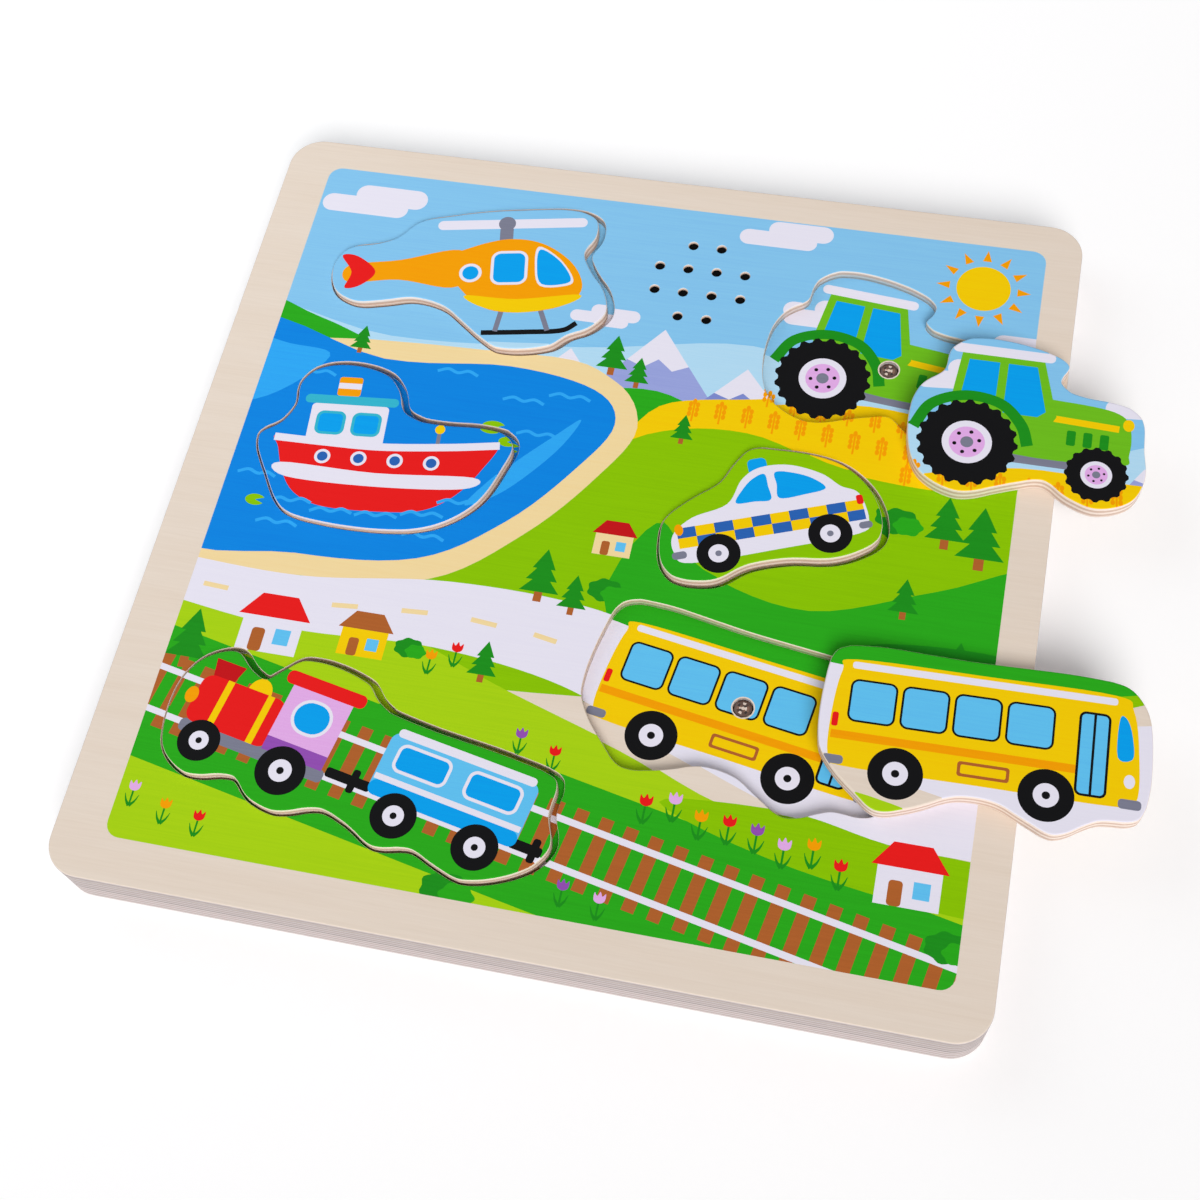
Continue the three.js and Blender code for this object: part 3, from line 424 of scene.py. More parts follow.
def lake():
    """A lake with a sandy shore, paler shallows, ripples and floating leaves."""
    art = [
        ("sand", closed_curve([(-150, -30), (-96, -34), (-52, -28), (-24, -6), (-4, 20), (6, 42),
                               (-6, 60), (-40, 66), (-150, 50)])),
        ("lake", closed_curve([(-150, -22), (-100, -26), (-58, -21), (-31, -2), (-12, 22), (-2, 42),
                               (-12, 55), (-44, 60), (-90, 56), (-150, 64)])),
        ("shallow", closed_curve([(-150, 30), (-128, 34), (-110, 54), (-126, 57), (-150, 58)])),
        ("shallow", closed_curve([(-46, 2), (-34, 10), (-20, 28), (-14, 42), (-22, 34), (-36, 18)])),
    ]
    for x, y in ((-112, 46), (-36, 46), (-28, 33), (-122, 2), (-110, -16), (-58, -13), (-62, 54),
                 (-20, 50)):
        art += ripple(x, y, 15)
    for x, y, size in ((-44, 34, 4.4), (-37, 29, 3.2), (-120, -8, 3.6)):
        leaf = oval(0, 0, size, 0.62 * size, 24)
        art.append(("meadow", np.vstack([leaf[2:23], [[0, 0]]]) + (x, y)))
    return art


def meadows():
    """The near hills, a pale road with a dashed middle line, and the railway."""
    road = [(-150, -40), (-96, -44), (-44, -40), (4, -44), (46, -58), (96, -72), (150, -72)]
    art = [
        ("hill", closed_curve([(20, 6), (40, -10), (76, -18), (116, -4), (150, 8), (150, -34),
                               (60, -44), (10, -30)])),
        ("sprout", closed_curve([(-150, -52), (-110, -44), (-66, -46), (-20, -62), (24, -76),
                                 (70, -92), (150, -100), (150, -150), (-150, -150)])),
        ("cloud", ribbon(road, 15, 44)),
        ("forest", closed_curve([(92, -30), (116, -24), (150, -26), (150, -42), (118, -44)])),
    ]
    for dash in ([(-128, -42.5), (-119, -43)], [(-105, -43.5), (-96, -44)], [(-82, -43), (-73, -42.2)],
                 [(-58, -41), (-49, -40.4)], [(-34, -40.2), (-25, -41)], [(-12, -42), (-4, -43.4)]):
        art.append(("sand", ribbon(dash, 1.8, smooth=False)))
    bank = [(-150, -80), (0, -110), (150, -139)]
    art.append(("hill", ribbon(bank, 47, 44, smooth=False)))
    art += track((-150, -79), (150, -138), 15)
    art.append(("meadow", closed_curve([(40, -92), (80, -88), (112, -93), (150, -96), (150, -112),
                                        (86, -106)])))
    return art


def village():
    """Conifers, cottages, tulips and bushes."""
    art = []
    for x, y, tall in ((-8, 62, 17), (2, 58, 13), (-100, 57, 12), (-126, -74, 22), (-14, -30, 20),
                       (-2, -33, 15), (116, 12, 20), (128, 6, 24), (106, -16, 15), (-26, -62, 15),
                       (126, -34, 13), (22, 38, 12)):
        art += pine(x, y, tall)
    for x, y, wide, wall, roof in ((-100, -64, 21, "cloud", "red"), (-68, -60, 16, "straw", "bark"),
                                   (7, -9, 13, "sand", "brick"), (120, -112, 20, "cloud", "red")):
        art += house(x, y, wide, wall, roof)
    bed = ("red", "rose", "amber", "red", "plum", "rose", "amber", "red")
    for x, key in zip(range(36, 108, 9), bed):
        art += tulip(x, -98 - 0.16 * (x - 36) + 2 * math.sin(x), 10, key)
    for x, y, key in ((-8, -84, "plum"), (4, -88, "red"), (-128, -124, "rose"), (-116, -128, "amber"),
                      (-104, -130, "red"), (16, -131, "plum"), (28, -133, "rose"), (-36, -58, "red"),
                      (-44, -62, "amber")):
        art += tulip(x, y, 9, key)
    for x, y, size in ((100, 20, 7), (-52, -54, 5), (8, -22, 6), (134, -122, 7), (-20, -132, 8)):
        art.append(("forest", oval(x, y, size, 0.7 * size, 40, 0.07, 7)))
        art.append(("hill", oval(x + 0.5 * size, y - 0.2 * size, 0.7 * size, 0.5 * size, 40, 0.08, 6)))
    return art


def landscape():
    """The printed picture, from the back to the front."""
    return [*sky(), *fields(), *lake(), *meadows(), *village()]


# The vehicles, each drawn about its piece's own middle


def wheel(x, y, radius, hub="ink"):
    """A tyre with a pale rim and a small hub."""
    return [("ink", oval(x, y, radius, count=44)), ("cloud", oval(x, y, 0.46 * radius, count=30)),
            (hub, oval(x, y, 0.15 * radius, count=16))]


def framed(x0, y0, x1, y1, corner, glass, border="cloud", edge=1.1):
    """A window with a frame round it."""
    return [(border, plate(x0 - edge, y0 - edge, x1 + edge, y1 + edge, corner + edge)),
            (glass, plate(x0, y0, x1, y1, corner))]


def helicopter():
    """An orange helicopter with a red tail fin, side windows and skids."""
    body = closed_curve([(-12, 5), (-2, 11), (12, 14.5), (25, 12), (36, 3), (40, -8), (34, -15.5),
                         (18, -18.5), (4, -16), (-6, -6)])
    belly = closed_curve([(-3, -10.5), (16, -12.5), (39, -11), (34, -15.5), (18, -18.5), (4, -16)])
    nose = closed_curve([(24, 9.5), (31, 4.5), (35.5, -3), (34, -6), (25, -6), (23, 2)], 5)
    return [
        ("ink", ribbon([(4, -27), (20, -27), (33, -26.6), (38.5, -23.5)], 2.1)),
        ("grey", ribbon([(11, -17), (9, -26.5)], 1.9, smooth=False)),
        ("grey", ribbon([(25, -17), (28, -26.5)], 1.9, smooth=False)),
        ("grey", plate(8.5, 12, 13.5, 21)),
        ("amber", closed_curve([(-47, 4), (-28, 6), (-6, 10), (0, 0), (-8, -7), (-28, -3), (-47, -3.5)])),
        ("red", closed_curve([(-50, 8.5), (-44, 8), (-37, 1), (-42, -5), (-48, -6), (-46, 1)])),
        ("amber", body),
        ("straw", belly),
        ("cloud", nose + (nose - nose.mean(0)) * 0.14),
        ("azure", nose),
        *framed(7, -5, 18.5, 8, 2.6, "azure"),
        ("cloud", oval(-1.5, -0.5, 4.2, count=26)),
        ("azure", oval(-1.5, -0.5, 3, count=24)),
        ("cloud", plate(-15, 19.3, 41, 23.5, 2.05)),
        ("grey", oval(11, 21.6, 3.2, count=24)),
    ]


def boat():
    """A red boat with a cabin, a funnel and portholes, on ripples."""
    hull = closed_curve([(-38, 3), (-36.5, -2), (-33, -12), (-27, -20), (-16, -24.5), (6, -25), (20, -23),
                         (30, -16), (37, -6), (41.5, 4.5), (30, 3.5), (0, 1.2), (-22, 1.8)])
    band = closed_curve([(-34.5, -8), (0, -10), (34.6, -9.2), (31.5, -14), (0, -15.4), (-31.5, -13.6)])
    art = [
        ("cloud", plate(-27.5, -4, 0.5, 17, 1.5)),
        *framed(-24, 5.5, -15.5, 13, 1.6, "azure", "teal"),
        *framed(-11, 5.5, -2.5, 13, 1.6, "azure", "teal"),
        ("teal", plate(-30.5, 17, 3.5, 20.6, 1.7)),
        ("amber", plate(-19.5, 20.6, -11, 28.5, 1)),
        ("cloud", plate(-19.5, 23.6, -11, 26)),
        ("grey", ribbon([(20, 3), (20, 9.4)], 1.4, smooth=False)),
        ("straw", oval(20, 9.2, 1.8, count=18)),
        ("red", hull),
        ("cloud", band),
        ("cloud", ribbon([(-38.6, 2.2), (-20, 1.2), (0, 0.6), (24, 2.2), (42, 4.2)], 3)),
    ]
    for x in (-20, -7, 6, 19):
        art += [("cloud", oval(x, -4.6, 2.9, count=24)), ("navy", oval(x, -4.6, 1.9, count=20))]
    for x, y in ((-28, -23.5), (-13, -26.5), (3, -27), (19, -25.6), (31, -20)):
        art += ripple(x, y, 15)
    return art


def car():
    """A pale car with a chequered band along its side."""
    body = closed_curve([(-35, -7), (-34.5, 0), (-27, 5.5), (-14.5, 8.5), (-8, 17), (-1, 20.6), (9, 19.8),
                         (19, 14.5), (24.5, 8.5), (30, 4.5), (31.2, -6), (27, -10.5), (0, -11.5),
                         (-30, -11.5)])
    front = closed_curve([(-11.5, 8.4), (-8, 13.5), (-4, 16.8), (0, 17.8), (0.4, 13), (0.4, 7.6),
                          (-5, 7.8)], 5)
    rear = closed_curve([(3.4, 7.6), (3.4, 13), (3.6, 17.8), (9, 16.8), (15.5, 13.4), (19.4, 8.6),
                         (12, 7.5)], 5)
    art = [
        ("azure", plate(-5, 18, 1.5, 24.3, 1.8)),
        ("cloud", body),
    ]
    wide, tall = 6.4, 3.9
    for column in range(10):
        for row in range(2):
            key = "navy" if (column + row) % 2 else "straw"
            x, y = wide * column - 33, tall * row - 5.6
            art.append((key, plate(x, y, min(x + wide, 30.4), y + tall)))
    art += [
        ("azure", front),
        ("azure", rear),
        ("amber", oval(-32.2, 1.6, 1.5, 2.2, count=18)),
        ("red", plate(28.6, 0.4, 30.9, 4, 0.8)),
        ("grey", plate(-36, -9.4, -31, -6.6, 1.2)),
        ("grey", plate(27.5, -9, 32, -6.4, 1.2)),
        *wheel(-20.5, -9.5, 7.4, hub="grey"),
        *wheel(17.5, -8.8, 7.4, hub="grey"),
    ]
    return art


def train():
    """A steam engine that pulls a blue coach."""
    return [
        ("ink", plate(-8, -8, 8, -4.6, 1)),
        ("ink", plate(57, -8, 68, -4.6, 1)),
        ("ink", plate(0.6, -10.4, 3.2, -2.2, 1)),
        ("ink", plate(64, -10.4, 66.6, -2.2, 1)),
        ("grey", plate(-61, -11, -8, -6.5, 1.6)),
        ("brick", shape((-58, 9), (-51, 9), (-49, 16.4), (-60, 16.4))),
        ("straw", oval(-41, 10, 4.2, 5.2, 28)),
        ("red", plate(-61, -7, -30, 10.5, 4)),
        ("straw", plate(-52.6, -7, -50.2, 10.5)),
        ("straw", plate(-37.6, -7, -35.2, 10.5)),
        ("rose", plate(-31.5, -7, -9.5, 18)),
        ("plum", plate(-31.5, -7, -9.5, -2)),
        *framed(-26.5, 3, -14.5, 13.5, 5.2, "azure"),
        ("red", plate(-35, 17, -6, 21.8, 2)),
        ("amber", oval(-62, 1.6, 2.2, 3, 20)),
        ("glass", plate(7, -8, 59, 14.5, 3.5)),
        ("azure", plate(7, -8, 59, -2.6, 2.6)),
        ("cloud", plate(7.4, -2.6, 58.6, -0.6)),
        *framed(12, 2.6, 29, 10.6, 2, "azure"),
        *framed(37, 2.6, 54, 10.6, 2, "azure"),
        ("cloud", plate(8.6, 13, 57.4, 16, 1.4)),
        *wheel(-52, -12, 7.2),
        *wheel(-22, -11.6, 8.4),
        *wheel(19, -12, 7.6),
        *wheel(47.5, -12, 7.6),
    ]


def lugged(x, y, radius, lugs, rim):
    """A tractor tyre: a disc whose edge steps out at each lug, with a bolted rim."""
    angle = np.arange(lugs * 4) * 2 * math.pi / (lugs * 4)
    reach = radius * np.where(np.arange(lugs * 4) % 4 < 2, 1.0, 0.925)
    tyre = np.stack([x + reach * np.cos(angle), y + reach * np.sin(angle)], 1)
    art = [("ink", tyre), ("cloud", oval(x, y, rim, count=36)), ("rose", oval(x, y, 0.72 * rim, count=30)),
           ("grey", oval(x, y, 0.26 * rim, count=18))]
    for step in range(6):
        bolt = turned([(0.5 * rim, 0)], 60 * step + 15)[0]
        art.append(("ink", oval(x + bolt[0], y + bolt[1], 0.085 * rim, count=10)))
    return art


def tractor():
    """A green tractor with a glazed cab and lugged tyres."""
    hood = closed_curve([(-6, 9), (12, 9.6), (28, 8), (33.5, 3), (34, -8), (30, -13), (-8, -13), (-12, 0)])
    cab = shape((-27, 4), (-25, 25), (3, 25), (9, 3), (4, -8), (-20, -8))
    return [
        ("grey", plate(-10, -17, 28, -10, 2)),
        ("leaf", hood),
        ("straw", ribbon([(6, 2.4), (30, 1.4)], 2.6, smooth=False)),
        ("forest", plate(13, -7.5, 16, -1.6, 0.7)),
        ("forest", plate(18.5, -7.5, 21.5, -1.6, 0.7)),
        ("forest", plate(24, -7.5, 27, -1.6, 0.7)),
        ("straw", oval(33, 3.4, 1.9, 2.4, 18)),
        ("leaf", cab),
        ("azure", shape((-23.8, 7), (-22.4, 22), (-12, 22), (-12, 7))),
        ("azure", shape((-9, 2), (-9, 22), (0.8, 22), (5.2, 4.4), (2.6, 2))),
        ("cloud", plate(-28.4, 24.4, 6.6, 28.2, 1.8)),
        ("forest", ribbon([(-38, -8), (-33, 2), (-22, 7), (-10, 5.4), (-2.4, -2), (0.5, -10)], 4)),
        *lugged(-19.5, -11.5, 17, 20, 8.4),
        *lugged(24, -17.4, 10.6, 16, 5.2),
    ]


def bus():
    """A yellow bus with four windows and a door in two leaves."""
    body = closed_curve([(-47, -11), (-47.6, 4), (-46, 18), (-42, 22.4), (0, 22.8), (39, 22.6), (45, 18),
                         (47.4, 4), (47.4, -12), (40, -14.4), (0, -14.4), (-42, -14.4)])
    art = [
        ("straw", body),
        ("cloud", plate(-43, 19.2, 40, 21.6, 1)),
        ("amber", plate(-47, -5.4, 30, -2.6)),
        ("grey", plate(-48.6, -14, -42, -11, 1.2)),
        ("grey", plate(42, -14.6, 49, -11.4, 1.2)),
    ]
    for x in (-42, -25.6, -9.2, 7.2):
        art += framed(x, 1.6, x + 13.6, 15, 2, "glass", "ink", 0.7)
    art += [
        *framed(29.4, -11.6, 37.6, 15, 1.4, "glass", "ink", 0.8),
        ("ink", plate(33.1, -11.6, 33.9, 15)),
        ("azure", closed_curve([(41, 2), (41, 15), (43.4, 14.6), (45.2, 9), (45.6, 2)], 5)),
        ("cloud", oval(45, -5.6, 1.7, 2.3, 18)),
        ("red", plate(-47.2, -1.4, -45.2, 3.4, 0.7)),
        ("bark", plate(-7, -12, 9, -7, 1)),
        ("straw", plate(-6, -11, 8, -8, 0.6)),
        *wheel(-25.5, -14.4, 8.6),
        *wheel(20.5, -14, 8.6),
    ]
    return art


# Each vehicle's drawing, its recess and where its piece lies: x, y and turn, as in the solids
VEHICLES = {
    "helicopter": (helicopter, (-65, 97.3, 10), (-66, 97, 10)),
    "boat": (boat, (-80.7, 19.1, 5), (-81, 18, 5)),
    "car": (car, (59.9, 12.8, 20), (59, 13, 20)),
    "train": (train, (-57.5, -96.4, -11), (-58, -97, -11)),
    "tractor": (tractor, (86.5, 84.8, -5), (138, 62.5, 0)),
    "bus": (bus, (60.1, -58.6, -9), (136.3, -57, 1)),
}


# Meshes


def rim_sides(triangles, count):
    """The sides that only one of the triangles has, and the number of that triangle."""
    sides = triangles[:, [0, 1, 1, 2, 2, 0]].reshape(-1, 2)
    single = ~np.isin(sides @ (count, 1), sides @ (1, count))
    return sides[single], np.flatnonzero(single) // 3


def walk_order(following):
    """The order of a walk round closed loops, where each side has the number of the side that
    follows it, and the places in that order where a new loop starts. Looking 1, 2, 4 and so on
    sides ahead gives each side the lowest number in its loop, and then how far off that one is."""
    here = np.arange(len(following))
    doublings = range(len(following).bit_length())
    lowest, ahead = here, following
    for _ in doublings:
        lowest, ahead = np.minimum(lowest, lowest[ahead]), ahead[ahead]
    last = lowest == here
    steps, ahead = np.where(last, 0, 1), np.where(last, here, following)
    for _ in doublings:
        steps, ahead = steps + steps[ahead], ahead[ahead]
    order = np.lexsort((-steps, lowest))
    return order, np.flatnonzero(np.diff(lowest[order])) + 1


def rim_loops(node, level):
    """The ordered outlines of a solid's flat face at a level, largest first, in millimetres:
    the sides that only one triangle of that face has, followed round."""
    mesh = NODES[node].data
    points = np.empty(len(mesh.vertices) * 3)
    mesh.vertices.foreach_get("co", points)
    mesh.calc_loop_triangles()
    corners = np.empty(len(mesh.loop_triangles) * 3, int)
    mesh.loop_triangles.foreach_get("vertices", corners)
    points = np.round(points.reshape(-1, 3) / MM, 4)
    spots, names = np.unique(points, axis=0, return_inverse=True)
    faces = names.reshape(-1)[corners].reshape(-1, 3)
    flat = np.all(np.abs(spots[faces][:, :, 2] - level) < LEVEL_SLACK, axis=1)
    rim, _ = rim_sides(faces[flat], len(spots))
    rim = rim[np.argsort(rim[:, 0])]
    order, starts = walk_order(np.searchsorted(rim[:, 0], rim[:, 1]))
    loops = np.split(spots[rim[order, 0]][:, :2], starts)
    return sorted(loops, key=lambda loop: -np.ptp(loop[:, 0]))


def rim_normals(points, rim):
    """At each rim point the normal that points away from the material, to the right of the way
    round: the sum of its two sides' normals, drawn out at a bend so that a rim that is moved
    along it keeps an even distance."""
    step = points[rim[:, 1]] - points[rim[:, 0]]
    step /= np.linalg.norm(step, axis=1, keepdims=True)
    normal = np.zeros_like(points)
    for end in (0, 1):
        np.add.at(normal, rim[:, end], np.stack([step[:, 1], -step[:, 0]], 1))
    return normal * (2 / np.maximum(np.sum(normal ** 2, axis=1, keepdims=True), 2.0))


def moved_rim(loop, shift):
    """A loop with every point moved along its normal, away from the material."""
    order = np.arange(len(loop))
    return loop + shift * rim_normals(loop, np.stack([order, np.roll(order, -1)], 1))


def counter_clockwise(loop):
    """The loop in the order that keeps its inside on the left."""
    x, y = loop[:, 0], loop[:, 1]
    area = np.sum(x * np.roll(y, -1) - y * np.roll(x, -1))
    return loop if area > 0 else loop[::-1]


# How the print is cut: only inside drawn loops, and points closer than this are one, in mm
INSIDE_LOOPS = 1
MERGE_GAP = 1e-5


def cut_print(rims, art, area=None):
    """Splits the face inside the first rim and outside the others along every drawn edge.
    Gives its points, its triangles and for each one the number of its uppermost ink in the
    drawing, or -1 where it is bare because it lies outside the printed area."""
    low, high = rims[0].min(0), rims[0].max(0)
    near = [(key, points) for key, points in art
            if np.all(points.max(0) > low) and np.all(points.min(0) < high)]
    border = rims[0] if area is None else area
    loops = [counter_clockwise(loop) for loop in [*rims, border, *(points for _, points in near)]]
    ends = np.cumsum([len(loop) for loop in loops])
    faces = [list(range(end - len(loop), end)) for loop, end in zip(loops, ends)]
    cut = delaunay_2d_cdt(np.vstack(loops).tolist(), [], faces, INSIDE_LOOPS, MERGE_GAP)
    points, _, triangles, _, _, owners = cut
    first_ink = len(rims) + 1
    kept = [i for i, own in enumerate(owners) if 0 in own and not any(0 < o < len(rims) for o in own)]
    inks = []
    for i in kept:
        uppermost = max(owners[i])
        printed = len(rims) in owners[i] and uppermost >= first_ink
        inks.append(uppermost - first_ink if printed else -1)
    used, corners = np.unique(np.array(triangles)[kept], return_inverse=True)
    return np.array(points)[used], corners.reshape(-1, 3), np.array(inks), [key for key, _ in near]


def near_openings(spots, rims):
    """Which points lie on the rim of an opening; all of them where a plate has no opening,
    because its whole edge is then freshly cut."""
    if len(rims) == 1:
        return np.ones(len(spots), bool)
    holes = np.vstack(rims[1:])
    gaps = np.sum(spots ** 2, 1)[:, None] + np.sum(holes ** 2, 1) - 2 * spots @ holes.T
    return gaps.min(1) < OPENING_REACH ** 2


def paint_faces(mesh, tints, corners):
    """Gives each face of a mesh a colour, repeated for its number of corners."""
    # named print; on a lens it holds the facets' painted glint tones, which stand in for reflections
    paint = mesh.color_attributes.new("print", "FLOAT_COLOR", "CORNER")
    paint.data.foreach_set("color", np.repeat(tints, corners, axis=0).ravel())


def mark_points(mesh, name, values):
    """Gives each point of a mesh a number under a name that a material reads."""
    mark = mesh.attributes.new(name, "FLOAT", "POINT")
    mark.data.foreach_set("value", np.asarray(values, np.float32))


def carried_rim(plan, rim, edge, ease, profile):
    """The points of a plate, a layer for each level of its profile, and the rim's sides in each
    layer. The upper and the lower face have every point of the plan. Between them lie only the
    edge, which is the rim's points: a step (out, down, level) moves each along its normal by out
    times its ease, and sets it at the level less down times its ease."""
    number = np.full(len(plan), -1)
    number[edge] = np.arange(len(edge))
    spots = plan[edge]
    normal = rim_normals(plan, rim)[edge]
    top, *steps, bottom = profile
    layers = [level_loop(plan, top)]
    layers += [np.column_stack([spots + (out * ease)[:, None] * normal, level - down * ease])
               for out, down, level in steps]
    layers.append(level_loop(plan, bottom))
    starts = np.cumsum([0] + [len(layer) for layer in layers[:-1]])
    rings = [rim, *(number[rim] + start for start in starts[1:-1]), rim + starts[-1]]
    return layers, rings


def slab(name, rims, art, profile, materials, area=None, lift=0.0, reach=(0.0, 0.0), inked=0):
    """A printed plate. Its upper and lower faces are the cut print, and its wall is the rim carried
    through the profile, where the reach gives the ease of the outer rim and of the openings. The
    first inked steps of the wall carry the face's ink on."""
    plan, triangles, inks, keys = cut_print(rims, art, area)
    rim, owners = rim_sides(triangles, len(plan))
    edge = np.unique(rim)
    fresh = near_openings(plan[edge], rims)
    layers, rings = carried_rim(plan, rim, edge, np.where(fresh, reach[1], reach[0]), profile)
    walls = [np.column_stack([up[:, 0], down[:, 0], down[:, 1], up[:, 1]])
             for up, down in zip(rings, rings[1:])]
    points = np.vstack(layers) * MM
    under = triangles[:, ::-1] + len(points) - len(plan)
    mesh = bpy.data.meshes.new(name)
    mesh.from_pydata(points.tolist(), [],
                     triangles.tolist() + np.vstack(walls).tolist() + under.tolist())
    bare = np.full(len(rim), -1)
    wall_inks = [inks[owners] if row < inked else bare for row in range(len(walls))]
    face_inks = np.concatenate([inks, *wall_inks, np.full(len(under), -1)])
    corners = np.full(len(face_inks), 3)
    corners[len(inks):-len(under)] = 4
    mesh.polygons.foreach_set("material_index", (face_inks >= 0).astype(np.int32))
    mesh.polygons.foreach_set("use_smooth", corners == 4)
    settings = bpy.context.scene.puzzle_inks
    palette = np.array([[*getattr(settings, key), 1.0] for key in keys])
    paint_faces(mesh, palette[np.maximum(face_inks, 0)], corners)
    cut = np.zeros(len(plan))
    cut[edge] = fresh
    mark_points(mesh, "fresh_cut", np.concatenate([cut, *[fresh] * (len(layers) - 2), cut]))
    mark_points(mesh, "ply_shift", np.full(len(mesh.vertices), -lift * MM))
    return place_piece(name, mesh, materials)


def loft(name, loops, materials, body, tints=None):
    """A closed skin over a stack of loops that have equally many points and go round counter-
    clockwise seen from above: quads join points j and j + 1 of one loop to those of the next,
    and the first and last loops are filled. Each face may have a tint of its own."""
    count = len(loops[0])
    row, column = np.meshgrid(np.arange(len(loops) - 1), np.arange(count), indexing="ij")
    here = row * count + column
    beside = row * count + (column + 1) % count
    quads = np.stack([here, beside, beside + count, here + count], -1).reshape(-1, 4)
    first = np.arange(count)
    last = first + count * (len(loops) - 1)
    mesh = bpy.data.meshes.new(name)
    mesh.from_pydata((np.vstack(loops) * MM).tolist(), [],
                     quads.tolist() + [first[::-1].tolist(), last.tolist()])
    if tints is not None:
        paint_faces(mesh, tints, np.concatenate([np.full(len(quads), 4), [count, count]]))
    return place_piece(name, mesh, materials, body)


def level_loop(loop, height):
    """A plan loop set at a height."""
    return np.column_stack([loop, np.full(len(loop), height)])


def place_piece(name, mesh, materials, body="board"):
    """Puts a finished mesh into the scene with its materials and sets it on a body."""
    mesh.update()
    mesh.validate()
    for material in materials:
        mesh.materials.append(material)
    made = bpy.data.objects.new(name, mesh)
    bpy.context.scene.collection.objects.link(made)
    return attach(made, body)


def eased(low, high, both):
    """A plate's rim profile from its upper to its lower face: a quarter round at the top, a
    straight wall, and the same at the bottom or a square lower edge."""
    angle = np.linspace(0, math.pi / 2, EASE_STEPS + 1)[1:]
    upper = [(math.sin(a), 1 - math.cos(a), high) for a in angle]
    lower = [(math.sin(a), math.cos(a) - 1, low) for a in angle[::-1]] if both else [(1, 0, low)]
    return [high, *upper, *lower, low]


def finer(loops):
    """Rims with a smooth curve through the points of each opening; the board's own straight
    sides and corner arcs stay as they are."""
    return [loops[0]] + [closed_curve(loop, RIM_STEPS) for loop in loops[1:]]


def span(node):
    """A solid's lowest and highest level in millimetres."""
    low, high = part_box(node)
    return low.z / MM, high.z / MM


def middle(node):
    """A solid's middle in plan and half its width, in millimetres."""
    low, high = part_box(node)
    return np.array([low.x + high.x, low.y + high.y]) / 2 / MM, (high.y - low.y) / 2 / MM


# Materials


def add_node(tree, kind, inputs=None, **options):
    """Adds a shader node with its options and its inputs, each a value or a link."""
    made = tree.nodes.new("ShaderNode" + kind)
    for option, value in options.items():
        setattr(made, option, value)
    connect(tree, made, inputs or {})
    return made


def new_material(name):
    """An empty node material with its shader and its object coordinates."""
    material = bpy.data.materials.new(name)
    material.use_nodes = True
    tree = material.node_tree
    return material, tree, tree.nodes["Principled BSDF"], add_node(tree, "TexCoord")


def connect(tree, node, inputs):
    """Gives a node's sockets their values. A socket is linked, and so is a node, by its first
    output."""
    for socket, value in inputs.items():
        if isinstance(value, bpy.types.Node):
            value = value.outputs[0]
        if isinstance(value, bpy.types.NodeSocket):
            tree.links.new(value, node.inputs[socket])
        else:
            node.inputs[socket].default_value = value


def colour(code):
    """A colour written as #rrggbb, as a socket takes it."""
    return (*linear(code), 1.0)


def wood_grain(tree, where, along, across):
    """Streaks of wood: noise drawn out along X, with a streak length and width in mm."""
    scale = (1 / (along * MM), 1 / (across * MM), 1 / (across * MM))
    place = add_node(tree, "Mapping", {"Vector": where.outputs["Object"], "Scale": scale})
    return add_node(tree, "TexNoise", {
        "Vector": place, "Scale": 1.0, "Detail": 4.0, "Roughness": 0.6})


# Thickness of a ply, and half that of the joint line under the upper panels, in mm
PLY = 1.2
SEAM = 0.22
# Tones of a plywood edge, each from dark to light: the pale plies, then the brown ones
SIDE_PLIES = (("#c3bab9", "#d4cdce"), ("#9a847d", "#bbaba8"))
CUT_PLIES = (("#ead6c8", "#f8ece2"), ("#c4a18d", "#dfc6b6"))


